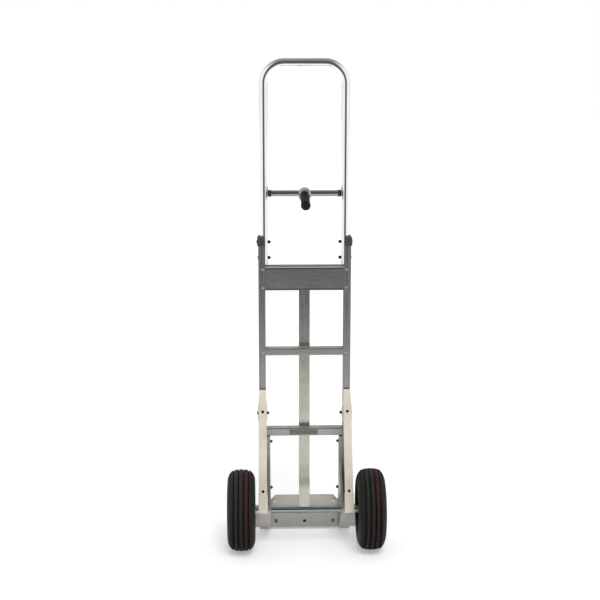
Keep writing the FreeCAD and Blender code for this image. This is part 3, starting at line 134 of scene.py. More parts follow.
class Tree:
    """A node tree that is being built."""

    def __init__(self, tree: bpy.types.NodeTree) -> None:
        """Start from an empty tree."""
        self.tree = tree
        tree.nodes.clear()

    def add(self, kind: str, inputs: dict[str | int, Value] | None = None,
            **settings: object) -> bpy.types.Node:
        """Add one node.

        Args:
            kind: the node's type, without its ShaderNode prefix.
            inputs: a socket or a plain value for each input that is set.
            **settings: the node's own options.

        Returns:
            The node.
        """
        prefix = "" if kind.startswith("NodeGroup") else "ShaderNode"
        node = self.tree.nodes.new(prefix + kind)
        for name, value in settings.items():
            setattr(node, name, value)
        for name, value in (inputs or {}).items():
            self.feed(node.inputs[name], value)
        return node

    def feed(self, socket: Socket, value: Value) -> None:
        """Link a socket to another one, or give it a plain value.

        Args:
            socket: the input to set.
            value: what it takes.
        """
        if isinstance(value, Socket):
            self.tree.links.new(value, socket)
        else:
            socket.default_value = value

    def math(self, operation: str, first: Number, second: Number = 0.0) -> Socket:
        """The result of one sum on two sockets or numbers."""
        return self.add("Math", {0: first, 1: second}, operation=operation).outputs[0]

    def times(self, first: Number, second: Number) -> Socket:
        """The product of two sockets or numbers."""
        return self.math("MULTIPLY", first, second)

    def ranged(self, value: Number, low: float, high: float, start: float = 0.0,
               end: float = 1.0) -> Socket:
        """A value moved from one range to another, held at both ends.

        Args:
            value: the value to move.
            low: where the first range starts.
            high: where the first range ends.
            start: what the low value becomes.
            end: what the high value becomes.

        Returns:
            The moved value.
        """
        inputs = {"Value": value, "From Min": low, "From Max": high, "To Min": start,
                  "To Max": end}
        return self.add("MapRange", inputs).outputs["Result"]

    def mixed(self, share: Number, first: Value, second: Value) -> Socket:
        """A colour between two others.

        Args:
            share: how much of the second colour there is.
            first: the colour at 0.
            second: the colour at 1.

        Returns:
            The mixed colour.
        """
        node = self.add("Mix", {"Factor": share}, data_type="RGBA")
        colours = [item for item in node.inputs if item.type == "RGBA"]
        for socket, value in zip(colours, (first, second)):
            self.feed(socket, value)
        return next(item for item in node.outputs if item.type == "RGBA")

    def mixed_value(self, share: Number, first: Number, second: Number) -> Socket:
        """A number between two others."""
        return self.add("Mix", {0: share, 2: first, 3: second}).outputs[0]

    def noise(self, place: Socket, scale: Number, detail: float, rough: float = 0.5) -> Socket:
        """The value of a noise texture."""
        return self.add("TexNoise", {"Vector": place, "Scale": scale, "Detail": detail,
                                     "Roughness": rough}).outputs[0]

    def bump(self, height: Number, strength: float, depth: float, **under: Socket) -> Socket:
        """The normal of a surface raised by a height, over another Normal where one is given."""
        return self.add("Bump", {"Height": height, "Strength": strength, "Distance": depth,
                                 **under}).outputs[0]

    def part(self, vector: Socket, letter: str) -> Socket:
        """One of a vector's three numbers."""
        return self.add("SeparateXYZ", {0: vector}).outputs[letter]

    def effect(self, group: bpy.types.NodeTree, place: Socket, **inputs: Value) -> Socket:
        """The output of a shared effect at a place.

        Args:
            group: the effect's node group.
            place: the coordinates to read.
            **inputs: the group's other inputs.

        Returns:
            The effect's value.
        """
        node = self.add("Group", node_tree=group)
        for name, value in {"Vector": place, **inputs}.items():
            self.feed(node.inputs[name], value)
        return node.outputs[0]

    def given_out(self, value: Socket) -> bpy.types.NodeTree:
        """Finish a node group that gives out one value."""
        self.add("NodeGroupOutput", {0: value})
        return self.tree


def new_group(name: str, output: str, **inputs: str) -> tuple[Tree, bpy.types.Node]:
    """Start a shader node group.

    Args:
        name: the group's name.
        output: the name of its one output.
        **inputs: the kind, Float or Vector, of each input past its place.

    Returns:
        The tree to build in and the node that gives the group's inputs.
    """
    group = bpy.data.node_groups.new(name, "ShaderNodeTree")
    tree = Tree(group)
    for title, kind in {"Vector": "Vector", **inputs}.items():
        group.interface.new_socket(title, in_out="INPUT", socket_type=f"NodeSocket{kind}")
    group.interface.new_socket(output, in_out="OUTPUT", socket_type="NodeSocketFloat")
    return tree, tree.add("NodeGroupInput")


@cache
def streaks() -> bpy.types.NodeTree:
    """Long fine lines, as drawing and brushing leave them.

    Returns:
        The shared node group.
    """
    tree, given = new_group("Streaks", "Value", Stretch="Vector", Scale="Float")
    stretched = tree.add("VectorMath", {0: given.outputs["Vector"], 1: given.outputs["Stretch"]},
                         operation="MULTIPLY").outputs["Vector"]
    return tree.given_out(tree.noise(stretched, given.outputs["Scale"], 4.0, 0.65))


@cache
def scratches() -> bpy.types.NodeTree:
    """Thin stray marks that cross a surface, in patches.

    Returns:
        The shared node group.
    """
    tree, given = new_group("Scratches", "Mask", Scale="Float")
    place = given.outputs["Vector"]
    marks = []
    for turn in ((0.5, 0.2, 0.7), (-0.4, 0.9, -0.3)):
        turned_place = tree.add("Mapping", {"Vector": place, "Rotation": turn,
                                            "Scale": (1.0, 26.0, 26.0)}).outputs[0]
        noise = tree.noise(turned_place, given.outputs["Scale"], 1.0)
        marks.append(tree.ranged(noise, 0.7, 0.76))
    patch = tree.ranged(tree.noise(place, 9.0, 2.0), 0.45, 0.6)
    return tree.given_out(tree.times(tree.math("MAXIMUM", *marks), patch))


@cache
def grime() -> bpy.types.NodeTree:
    """Cloudy dust, which may be heavier on what faces up.

    Returns:
        The shared node group.
    """
    tree, given = new_group("Grime", "Mask", Scale="Float", Settled="Float")
    cloud = tree.noise(given.outputs["Vector"], given.outputs["Scale"], 6.0, 0.6)
    upward = tree.ranged(tree.part(tree.add("TexCoord").outputs["Normal"], "Z"), 0.0, 1.0)
    missing = tree.times(tree.math("SUBTRACT", 1.0, upward), given.outputs["Settled"])
    weight = tree.math("SUBTRACT", 1.0, missing)
    return tree.given_out(tree.times(tree.ranged(cloud, 0.42, 0.72), weight))


@cache
def pebbles() -> bpy.types.NodeTree:
    """The small bumps of a sand-cast or moulded skin.

    Returns:
        The shared node group.
    """
    tree, given = new_group("Pebbles", "Height", Scale="Float")
    place, scale = given.outputs["Vector"], given.outputs["Scale"]
    grains = tree.add("TexVoronoi", {"Vector": place, "Scale": scale},
                      feature="SMOOTH_F1").outputs["Distance"]
    cloud = tree.times(tree.noise(place, scale, 3.0), 0.6)
    return tree.given_out(tree.math("ADD", grains, cloud))


# ------------------------------------------------------------------ finishes
@dataclass(frozen=True)
class Finish:
    """What a surface is made of and how it has been treated."""

    name: str
    slot: str
    colour: Colour
    roughness: float = 0.4

    def dress(self, tree: Tree, place: Socket) -> dict[str, Value]:
        """Build the finish.

        Args:
            tree: the material's tree.
            place: the surface's own coordinates.

        Returns:
            The inputs of the material's Principled shader.
        """
        raise NotImplementedError


def new_material(name: str) -> tuple[bpy.types.Material, Tree]:
    """Start a material, with the tree to build it in.

    Args:
        name: the material's name.

    Returns:
        The material and its tree.
    """
    material = bpy.data.materials.new(name)
    material.use_nodes = True
    return material, Tree(material.node_tree)


@cache
def finished_material(finish: Finish) -> bpy.types.Material:
    """The material of a finish, made once.

    Args:
        finish: the finish to build.

    Returns:
        The material, shared by every piece of that finish.
    """
    material, tree = new_material(finish.name)
    place = tree.add("TexCoord").outputs["Object"]
    shader = tree.add("BsdfPrincipled", finish.dress(tree, place))
    tree.add("OutputMaterial", {"Surface": shader.outputs[0]})
    return material


@dataclass(frozen=True)
class DrawnMetal(Finish):
    """Mill-finish aluminium or bright tube with lines along the way that it was drawn."""

    grain: Axis = Axis.Z
    streak: float = 0.5
    marks: float = 0.35
    dull: Colour = (150, 147, 141)
    relief: float = 0.25
    fresh: Colour = (238, 238, 236)

    def dress(self, tree: Tree, place: Socket) -> dict[str, Value]:
        """Streaks, cloudy tarnish and stray scratches on metal.

        Args:
            tree: the material's tree.
            place: the surface's own coordinates.

        Returns:
            The inputs of the material's Principled shader.
        """
        along, across = 3.0, 150.0
        stretch = [along if part else across for part in self.grain.value]
        lines = tree.effect(streaks(), place, Stretch=stretch, Scale=6.0)
        cloud = tree.effect(grime(), place, Scale=14.0, Settled=0.6)
        scratch = tree.effect(scratches(), place, Scale=11.0)
        bright = linear(self.colour)
        lined = tree.mixed(tree.ranged(lines, 0.3, 0.7), dimmed(bright, 1 - 0.35 * self.streak),
                           bright)
        tarnished = tree.mixed(tree.times(cloud, 0.55), lined, linear(self.dull))
        colour = tree.mixed(tree.times(scratch, self.marks), tarnished, linear(self.fresh))
        spread = 0.05
        rough = tree.math("ADD", tree.ranged(lines, 0.25, 0.75, self.roughness - spread,
                                             self.roughness + spread),
                          tree.times(cloud, 0.12))
        relief = tree.math("SUBTRACT", tree.times(lines, self.streak), scratch)
        return {"Base Color": colour, "Metallic": 1.0, "Roughness": rough,
                "Normal": tree.bump(relief, self.relief, 0.05 * MM)}


@dataclass(frozen=True)
class RailMetal(DrawnMetal):
    """Mill-finish extrusion with two shallow lines along it, as its die leaves them."""

    middle: float = 135.0 * MM
    line_at: float = 6.5 * MM
    line_width: float = 1.6 * MM
    line_shade: float = 0.45
    line_colour: Colour = (70, 70, 70)

    def dress(self, tree: Tree, place: Socket) -> dict[str, Value]:
        """The drawn finish, darker and dipped along the two lines.

        Args:
            tree: the material's tree.
            place: the surface's own coordinates.

        Returns:
            The inputs of the material's Principled shader.
        """
        inputs = super().dress(tree, place)
        beside = tree.math("ABSOLUTE", tree.part(place, "X"))
        off_middle = tree.math("ABSOLUTE", tree.math("SUBTRACT", beside, self.middle))
        off_line = tree.math("ABSOLUTE", tree.math("SUBTRACT", off_middle, self.line_at))
        line = tree.ranged(off_line, self.line_width / 2, self.line_width / 4)
        dark = tree.mixed(tree.times(line, self.line_shade), inputs["Base Color"],
                          linear(self.line_colour))
        dip = tree.bump(tree.math("SUBTRACT", 1.0, line), 0.6, 0.4 * MM, Normal=inputs["Normal"])
        return {**inputs, "Base Color": dark, "Normal": dip}


@dataclass(frozen=True)
class CastMetal(Finish):
    """Sand-cast aluminium with a grainy skin."""

    grain_scale: float = 900.0
    dirt: Colour = (118, 112, 102)

    def dress(self, tree: Tree, place: Socket) -> dict[str, Value]:
        """A pebbled bump and cloudy grey on rough metal.

        Args:
            tree: the material's tree.
            place: the surface's own coordinates.

        Returns:
            The inputs of the material's Principled shader.
        """
        height = tree.effect(pebbles(), place, Scale=self.grain_scale)
        cloud = tree.effect(grime(), place, Scale=20.0, Settled=0.4)
        base = linear(self.colour)
        mottled = tree.mixed(tree.ranged(height, 0.35, 0.95), dimmed(base, 0.6), base)
        colour = tree.mixed(tree.times(cloud, 0.5), mottled, linear(self.dirt))
        rough = tree.math("ADD", self.roughness, tree.times(cloud, 0.15))
        return {"Base Color": colour, "Metallic": 0.9, "Roughness": rough,
                "Normal": tree.bump(height, 0.5, 0.25 * MM)}


@dataclass(frozen=True)
class PlatedSteel(Finish):
    """Zinc-plated or blackened steel hardware."""

    tint: Colour = (190, 180, 140)
    scratched: Colour = (230, 230, 228)

    def dress(self, tree: Tree, place: Socket) -> dict[str, Value]:
        """Uneven plating with small scratches.

        Args:
            tree: the material's tree.
            place: the surface's own coordinates.

        Returns:
            The inputs of the material's Principled shader.
        """
        cloud = tree.noise(place, 260.0, 3.0)
        scratch = tree.effect(scratches(), place, Scale=60.0)
        plated = tree.mixed(tree.ranged(cloud, 0.35, 0.7, 0.0, 0.6), linear(self.colour),
                            linear(self.tint))
        colour = tree.mixed(tree.times(scratch, 0.6), plated, linear(self.scratched))
        rough = tree.ranged(cloud, 0.3, 0.7, self.roughness - 0.06, self.roughness + 0.1)
        return {"Base Color": colour, "Metallic": 1.0, "Roughness": rough,
                "Normal": tree.bump(cloud, 0.2, 0.03 * MM)}


@dataclass(frozen=True)
class Moulded(Finish):
    """Moulded plastic, rubber or paint: a coloured skin with dust and scuffs."""

    skin: float = 700.0
    relief: float = 0.12
    dust: Colour = (150, 145, 135)
    dusty: float = 0.25
    scuffed: float = 0.2
    cloudy: float = 0.2
    coat: float = 0.0
    gloss: float = 0.5

    def dress(self, tree: Tree, place: Socket) -> dict[str, Value]:
        """A pebbled skin whose colour varies softly, with dust and scuffs on top.

        Args:
            tree: the material's tree.
            place: the surface's own coordinates.

        Returns:
            The inputs of the material's Principled shader.
        """
        height = tree.effect(pebbles(), place, Scale=self.skin)
        cloud = tree.effect(grime(), place, Scale=16.0, Settled=0.0)
        scratch = tree.effect(scratches(), place, Scale=14.0)
        base = linear(self.colour)
        drift = tree.ranged(tree.noise(place, 7.0, 3.0), 0.35, 0.65)
        drifted = tree.mixed(drift, dimmed(base, 1 - self.cloudy), base)
        dusted = tree.mixed(tree.times(cloud, self.dusty), drifted, linear(self.dust))
        colour = tree.mixed(tree.times(scratch, self.scuffed), dusted, linear(self.dust))
        rough = tree.math("ADD", self.roughness, tree.times(cloud, 0.15))
        return {"Base Color": colour, "Roughness": rough,
                "Normal": tree.bump(height, 0.6, self.relief * MM),
                "Specular IOR Level": self.gloss, "Coat Weight": self.coat,
                "Coat Roughness": 0.15}


RAIL = RailMetal("rail aluminium", "rail_aluminium", (184, 184, 184), 0.3)
PANEL = DrawnMetal("panel aluminium", "panel_aluminium", (203, 203, 202), 0.3, Axis.X, 0.8)
# Darker copy of the panel aluminium for its up-facing top face: painted shade.
PANEL_TOP_SHADE = DrawnMetal("panel top face painted shade", "panel_aluminium", (150, 150, 149), 0.5, Axis.X)
# Darker copy of the panel aluminium for the deep groove: painted shade in the recess.
PANEL_GROOVE_SHADE = DrawnMetal("panel groove painted shade", "panel_aluminium", (104, 103, 101), 0.42, Axis.X)
BAR = DrawnMetal("crossbar aluminium", "bar_aluminium", (190, 188, 183), 0.36, Axis.X)
STRAP = DrawnMetal("strap aluminium", "strap_aluminium", (205, 201, 193), 0.27, Axis.Z, 0.35, 0.3,
                   relief=0.12)
NOSE = DrawnMetal("nose plate aluminium", "nose_aluminium", (190, 187, 182), 0.32, Axis.X, 0.5,
                  0.8)
# Lighter, rougher copy of the crossbar aluminium for the bars' up-facing tops: painted light.
BAR_TOP_LIGHT = DrawnMetal("crossbar top face painted light", "bar_aluminium", (226, 225, 220), 0.62, Axis.X)
# Darker copy of the crossbar aluminium for the base crossbar: painted shade for the shadowed floor
# it reflects.
BASE_SHADED = DrawnMetal("base crossbar aluminium painted shade", "bar_aluminium", (172, 170, 165), 0.34, Axis.X)
TUBE = DrawnMetal("polished tube", "bright_tube", (246, 246, 245), 0.12, Axis.Z, 0.03, 0.2,
                  (214, 213, 211), 0.05)
CROSS_TUBE = DrawnMetal("drawn cross tube", "bar_aluminium", (178, 178, 176), 0.24, Axis.X, 0.1,
                        0.25, (160, 159, 156), 0.08)
STUB = CastMetal("polished casting", "cast_aluminium", (226, 225, 221), 0.3)
FERRULE = Moulded("dark ferrule", "cap_plastic", (40, 40, 40), 0.4, 900.0, 0.05)
RIVET = PlatedSteel("aluminium rivet", "runner_aluminium", (188, 187, 184), 0.3, (166, 165, 161))
RUNNER = DrawnMetal("runner aluminium", "runner_aluminium", (200, 198, 192), 0.42, Axis.Z)
CASTING = CastMetal("cast aluminium", "cast_aluminium", (206, 204, 198), 0.45)
ZINC = PlatedSteel("bright zinc", "zinc_steel", (214, 214, 212), 0.24)
# Darker copy of the zinc for the bracket fixings and the nose bolts below 60 mm: darker towards
# the bottom.
DARKER_ZINC = PlatedSteel("darker zinc", "zinc_steel", (104, 101, 95), 0.34, (84, 78, 66))
AXLE = PlatedSteel("blue plated axle", "zinc_steel", (154, 166, 166), 0.15, (132, 150, 150))
DARK_STEEL = PlatedSteel("dark steel", "dark_steel", (52, 50, 48), 0.35, (78, 70, 60))
BEARING = PlatedSteel("ground steel", "bearing_steel", (200, 200, 200), 0.2, (170, 170, 172))
RIM_PAINT = Moulded("rim paint", "rim_paint", (196, 196, 192), 0.32, 900.0, 0.03,
                    (120, 112, 100), 0.35, 0.3, 0.1, 0.3)
TYRE = Moulded("tyre rubber", "tyre_rubber", (26, 25, 23), 0.6, 1400.0, 0.12, (80, 77, 71),
               0.12, 0.1, 0.3, gloss=0.25)
RIB_TOP = Moulded("worn tyre rib", "tyre_rubber", (60, 59, 55), 0.62, 1400.0, 0.12, (90, 87, 80),
                  0.16, 0.12, 0.25, gloss=0.2)
# Near-black rubber for the tread's grooves and notches: painted shade in the recesses.
TYRE_GROOVE_SHADE = Moulded("tyre groove painted shade", "tyre_rubber", (9, 9, 8), 0.7, 1400.0, 0.12, (50, 48, 44), 0.08,
                 0.05, 0.2, gloss=0.1)
RED_RIB = Moulded("reddish tyre rib", "tyre_rubber", (80, 46, 51), 0.62, 1400.0, 0.12,
                  (104, 80, 78), 0.15, 0.1, 0.4, gloss=0.2)
TUBE_RUBBER = Moulded("air tube rubber", "tube_rubber", (40, 40, 40), 0.5, 1200.0, 0.05)
GRIP = Moulded("grip rubber", "grip_rubber", (11, 11, 10), 0.5, 1100.0, 0.07, (60, 58, 54),
               0.04, 0.1, gloss=0.3)
CAP = Moulded("cap plastic", "cap_plastic", (72, 72, 71), 0.5, 900.0, 0.12, (140, 138, 132), 0.2)
WEAR = Moulded("wear strip plastic", "wear_plastic", (235, 227, 209), 0.45, 500.0, 0.05,
               (150, 132, 105), 0.22, 0.35, 0.06)
BLANK = Moulded("blank plate", "blank_plate", (126, 120, 119), 0.4, 700.0, 0.04,
                (165, 160, 152), 0.3, 0.3, 0.15)
VALVE = Moulded("valve rubber", "valve_rubber", (28, 28, 28), 0.5, 1200.0, 0.05)


# ------------------------------------------------------------------ shape building
def turned(profile: Profile, centre: Vector, axis: Vector, steps: int,
           closed: bool = True) -> Shape:
    """Spin a profile into a round piece, with its faces outwards.

    Args:
        profile: offset along the axis and radius of each point.
        centre: the point that the offsets start from.
        axis: the direction of the axis.
        steps: how many facets go round.
        closed: whether the profile's last point joins its first.

    Returns:
        The shape.
    """
    shape = bmesh.new()
    axis = axis.normalized()
    out = axis.orthogonal().normalized()
    ring = [shape.verts.new(centre + axis * along + out * radius) for along, radius in profile]
    pairs = list(zip(ring, ring[1:]))
    if closed:
        pairs.append((ring[-1], ring[0]))
    edges = [shape.edges.new(pair) for pair in pairs]
    bmesh.ops.spin(shape, geom=ring + edges, cent=centre, axis=axis, angle=2 * math.pi,
                   steps=steps, use_merge=True)
    bmesh.ops.remove_doubles(shape, verts=shape.verts, dist=MERGE)
    bmesh.ops.recalc_face_normals(shape, faces=shape.faces)
    return shape


def arc(centre: tuple[float, float], radius: float, start: float, end: float,
        steps: int) -> Profile:
    """Points of a round stretch of a profile.

    Args:
        centre: the middle of the arc.
        radius: its radius.
        start: the angle that it starts at, counted from the axis direction.
        end: the angle that it ends at.
        steps: how many pieces it is cut into.

    Returns:
        The points, both ends included.
    """
    points = []
    for step in range(steps + 1):
        angle = math.radians(start + (end - start) * step / steps)
        points.append((centre[0] + radius * math.cos(angle), centre[1] + radius * math.sin(angle)))
    return points


def joined(shapes: list[Shape]) -> Shape:
    """Put several shapes into one, and free the others.

    Args:
        shapes: the shapes, which are used up.

    Returns:
        The shape that holds them all.
    """
    whole = bmesh.new()
    for shape in shapes:
        mesh = bpy.data.meshes.new("part")
        shape.to_mesh(mesh)
        shape.free()
        whole.from_mesh(mesh)
        bpy.data.meshes.remove(mesh)
    return whole


def merged(node: str) -> Shape:
    """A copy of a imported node's shape, with its points merged.

    Args:
        node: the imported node.

    Returns:
        The copy.
    """
    shape = bmesh.new()
    shape.from_mesh(frame["nodes"][node].data)
    bmesh.ops.remove_doubles(shape, verts=shape.verts, dist=2 * MERGE)
    return shape


def softened(node: str, radius: float = 0.0, segments: int = 2) -> Shape:
    """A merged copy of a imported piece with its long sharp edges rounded.

    Args:
        node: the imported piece.
        radius: how far the rounding reaches from an edge, or 0 for none.
        segments: how many facets make the rounding.

    Returns:
        The copy.
    """
    shape = merged(node)
    bmesh.ops.dissolve_limit(shape, angle_limit=math.radians(FLAT_ANGLE), verts=shape.verts,
                             edges=shape.edges)
    if radius:
        edges = [edge for edge in shape.edges
                 if len(edge.link_faces) == 2 and edge.calc_length() > SHORTEST_EDGE
                 and edge.calc_face_angle(0.0) > math.radians(SHARP_ANGLE)]
        bmesh.ops.bevel(shape, geom=edges, offset=radius, offset_type="OFFSET",
                        segments=segments, profile=0.5, affect="EDGES", clamp_overlap=True,
                        material=-1)
    return shape


def solids(node: str) -> list[tuple[Vector, Vector]]:
    """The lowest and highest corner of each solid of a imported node, along X and then Z.

    Args:
        node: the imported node.

    Returns:
        A pair of corners for each solid, sorted.
    """
    shape = merged(node)
    waiting, found = set(shape.verts), []
    while waiting:
        reached, places = [waiting.pop()], []
        while reached:
            vert = reached.pop()
            places.append(vert.co.copy())
            beside = {edge.other_vert(vert) for edge in vert.link_edges} & waiting
            waiting -= beside
            reached.extend(beside)
        found.append((Vector(map(min, zip(*places))), Vector(map(max, zip(*places)))))
    shape.free()
    return sorted(found, key=lambda box: (round(box[0].x, 4), box[0].z))


def linked(name: str, data: bpy.types.ID) -> bpy.types.Object:
    """Put an object that shows some data in the scene.

    Args:
        name: the object's name.
        data: its mesh, lamp or camera.

    Returns:
        The object.
    """
    thing = bpy.data.objects.new(name, data)
    bpy.context.scene.collection.objects.link(thing)
    return thing


def piece(name: str, shape: Shape, finish: Finish, node: str,
          others: tuple[Finish, ...] = ()) -> None:
    """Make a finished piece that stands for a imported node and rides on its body.

    Args:
        name: the piece's name.
        shape: its shape, which is used up.
        finish: its main finish.
        node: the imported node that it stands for.
        others: finishes of faces whose material index is 1 or more.
    """
    mesh = bpy.data.meshes.new(name)
    shape.to_mesh(mesh)
    shape.free()
    mesh.shade_smooth()
    mesh.set_sharp_from_angle(angle=math.radians(SMOOTH_ANGLE))
    for used in (finish, *others):
        mesh.materials.append(finished_material(used))
    thing = linked(name, mesh)
    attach(thing, frame["nodes"][node]["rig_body"])
    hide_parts(node)
    levelled = thing.modifiers.new("level faces", "WEIGHTED_NORMAL")
    levelled.weight = 100
    levelled.keep_sharp = True
    LOG.info("%s: %d faces", name, len(mesh.polygons))


def dressed(name: str, node: str, finish: Finish, radius: float = 0.0, segments: int = 2) -> None:
    """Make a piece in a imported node's own shape, with its edges rounded."""
    piece(name, softened(node, radius, segments), finish, node)


def hexagon(shape: Shape, centre: Vector, axis: Vector, corners: float) -> None:
    """Cut six flats on a round blank, which leaves the curved edges of a chamfered hexagon.

    Args:
        shape: the blank.
        centre: a point on its axis.
        axis: the direction of its axis.
        corners: the size across the hexagon's corners.
    """
    first = axis.normalized().orthogonal().normalized()
    for side in range(6):
        out = Matrix.Rotation(math.radians(60 * side + 30), 3, axis) @ first
        flat = centre + out * (corners / 2 * math.cos(math.radians(30)))
        cut = bmesh.ops.bisect_plane(shape, geom=[*shape.verts, *shape.edges, *shape.faces],
                                     plane_co=flat, plane_no=out, clear_outer=True)
        rim = [item for item in cut["geom_cut"] if isinstance(item, bmesh.types.BMEdge)]
        bmesh.ops.holes_fill(shape, edges=rim, sides=0)
    bmesh.ops.recalc_face_normals(shape, faces=shape.faces)


# ------------------------------------------------------------------ fasteners
INSIDE_CORNERS = 0.985      # a hexagon's blank is this much narrower than its corners


@dataclass
class Fixings:
    """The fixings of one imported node, remade one by one from the boxes of its solids."""

    node: str
    axis: Axis
    finish: Finish
    low_finish: tuple[Finish, ...] = ()
    low_level: float = 0.0

    def outward(self, middle: Vector) -> Vector:
        """The way that a head faces: out to the side, or to the back.

        Args:
            middle: the fixing's middle.

        Returns:
            A direction of length 1.
        """
        if self.axis is Axis.Y:
            return Vector((0, -1, 0))
        return Vector((math.copysign(1, middle.x), 0, 0))

    def measured(self, low: Vector, high: Vector) -> tuple[Vector, Vector, float, float]:
        """A solid's middle, the way that it faces, its length that way and its width.

        Args:
            low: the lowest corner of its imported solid.
            high: the highest corner.

        Returns:
            The middle, the direction, the length and the width.
        """
        middle, size = (low + high) / 2, high - low
        out = self.outward(middle)
        across = max(part for part, way in zip(size, out) if way == 0)
        return middle, out, abs(size.dot(out)), across

    def one(self, low: Vector, high: Vector) -> Shape:
        """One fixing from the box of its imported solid."""
        raise NotImplementedError

    def build(self, name: str) -> None:
        """Make every fixing of the node as one piece, in a second finish where it is low.

        Args:
            name: the piece's name.
        """
        whole = joined([self.one(*box) for box in solids(self.node)])
        for face in whole.faces:
            face.material_index = int(face.calc_center_median().z < self.low_level)
        piece(name, whole, self.finish, self.node, self.low_finish)


@dataclass
class Bolts(Fixings):
    """Bolts with hexagon or low round heads, plain shanks and threaded ends."""

    hex_head: float = 4.0 * MM
    low_head: float = 2.0 * MM
    widest_low: float = 11.0 * MM
    washer_face: float = 0.4 * MM
    shank: float = 6.0 * MM
    thread: float = 1.0 * MM
    thread_depth: float = 0.5 * MM
    threads: int = 9
    point: float = 0.4 * MM

    def hex_blank(self, seat: Vector, out: Vector, across: float) -> Shape:
        """A chamfered hexagon head on a thin washer face.

        Args:
            seat: the middle of the head's underside.
            out: the way that the head faces.
            across: the head's width.

        Returns:
            The head's shape.
        """
        radius = across / 2 * INSIDE_CORNERS
        chamfer, washer = radius * 0.13, radius * 0.86
        blank = turned([(0, 0), (0, washer), (self.washer_face, washer),
                        (self.washer_face, radius), (self.hex_head - chamfer * 0.6, radius),
                        (self.hex_head, radius - chamfer), (self.hex_head, 0)],
                       seat, out, 48, closed=False)
        hexagon(blank, seat, out, across)
        return blank

    def low_blank(self, seat: Vector, out: Vector, across: float) -> Shape:
        """A low round head with a rounded rim and a small driving socket.

        Args:
            seat: the middle of the head's underside.
            out: the way that the head faces.
            across: the head's width.

        Returns:
            The head's shape.
        """
        radius, high = across / 2, self.low_head
        rim, socket, floor = high * 0.55, radius * 0.36, high * 0.45
        points = [(0, 0), (0, radius)] + arc((high - rim, radius - rim), rim, 90, 0, 5)
        points += [(high, socket), (floor, socket * 0.94), (floor, 0)]
        return turned(points, seat, out, 40, closed=False)

    def one(self, low: Vector, high: Vector) -> Shape:
        """One bolt: its head, and a rod with a thread at its end.

        Args:
            low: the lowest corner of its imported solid.
            high: the highest corner.

        Returns:
            The bolt's shape.
        """
        middle, out, length, across = self.measured(low, high)
        low_headed = across < self.widest_low
        head = self.low_head if low_headed else self.hex_head
        seat = middle + out * (length / 2 - head)
        make_head = self.low_blank if low_headed else self.hex_blank
        end, half = length - head, self.shank / 2
        points = [(0.0, 0.0), (0.0, half)]
        start = end - self.thread * self.threads
        for number in range(self.threads):
            root = start + self.thread * (number + 0.5)
            points += [(start + self.thread * number, half), (root, half - self.thread_depth)]
        points += [(end - self.point, half), (end, half - 2 * self.point), (end, 0.0)]
        rod = turned(points, seat, -out, 24, closed=False)
        return joined([make_head(seat, out, across), rod])


@dataclass
class Nuts(Fixings):
    """Lock nuts: a hexagon with a round collar over a nylon ring."""

    bore: float = 3.05 * MM
    collar: float = 1.4 * MM
    chamfer: float = 0.5 * MM
    ring_gap: float = 0.4 * MM
    ring_sunk: float = 0.3 * MM

    def outward(self, middle: Vector) -> Vector:
        """A nut faces the other way from its bolt's head."""
        return -super().outward(middle)

    def one(self, low: Vector, high: Vector) -> Shape:
        """One nut: the hexagon and the collar's ring.

        Args:
            low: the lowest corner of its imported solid.
            high: the highest corner.

        Returns:
            The nut's shape.
        """
        middle, out, height, across = self.measured(low, high)
        radius = across / 2 * INSIDE_CORNERS
        seat = middle - out * height / 2
        flat = radius * math.cos(math.radians(30))
        body = height - self.collar
        shape = turned([(0, self.bore), (0, flat), (self.chamfer, radius),
                        (body - self.chamfer, radius), (body, flat * 0.98), (body, self.bore)],
                       seat, out, 48)
        hexagon(shape, seat, out, across)
        inside, foot = self.bore + self.ring_gap, body - self.ring_sunk
        ring = turned([(foot, inside), (foot, flat * 0.9), (height - self.chamfer, flat * 0.88),
                       (height, flat * 0.8), (height, inside)], seat, out, 36)
        return joined([shape, ring])


@dataclass
class Rivets(Fixings):
    """Domed rivets."""

    facing: float = -1.0
    head: float = 2.0 * MM

    def outward(self, middle: Vector) -> Vector:
        """The way that every dome faces."""
        return self.axis.vector * self.facing

    def one(self, low: Vector, high: Vector) -> Shape:
        """One rivet: a dome on a shank half as wide.

        Args:
            low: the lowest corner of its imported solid.
            high: the highest corner.

        Returns:
            The rivet's shape.
        """
        middle, out, length, across = self.measured(low, high)
        radius, shank, end = across / 2, across / 4, self.head - length
        dome = [(self.head * math.sin(math.radians(turn)), radius * math.cos(math.radians(turn)))
                for turn in range(0, 90, 15)]
        points = [(end, 0), (end, shank), (0, shank), *dome, (self.head, 0)]
        return turned(points, middle + out * (length / 2 - self.head), out, 32, closed=False)


@dataclass
class CotterPins:
    """Split pins: an eye of wire and two half-round legs whose tips are bent apart."""

    node: str = "cotter_pins"
    wire: float = 1.5 * MM
    eye_depth: float = 3.6 * MM
    spread: float = 4.0 * MM

    def build(self) -> None:
        """Make both pins as one piece."""
        shapes = []
        for low, high in solids(self.node):
            middle = (low + high) / 2
            eye = high.z - self.eye_depth
            half = ((0.3 * MM, high.z - self.wire / 2), (2.6 * MM, eye), (0.8 * MM, eye - 4 * MM),
                    (0.78 * MM, low.z + 5 * MM), (self.spread, low.z + 0.8 * MM))
            for side in (1, -1):
                path = [Vector((middle.x, middle.y + side * off, z)) for off, z in half]
                shapes.append(wire(path, self.wire / 2))
        piece("cotter_pin_pair", joined(shapes), ZINC, self.node)


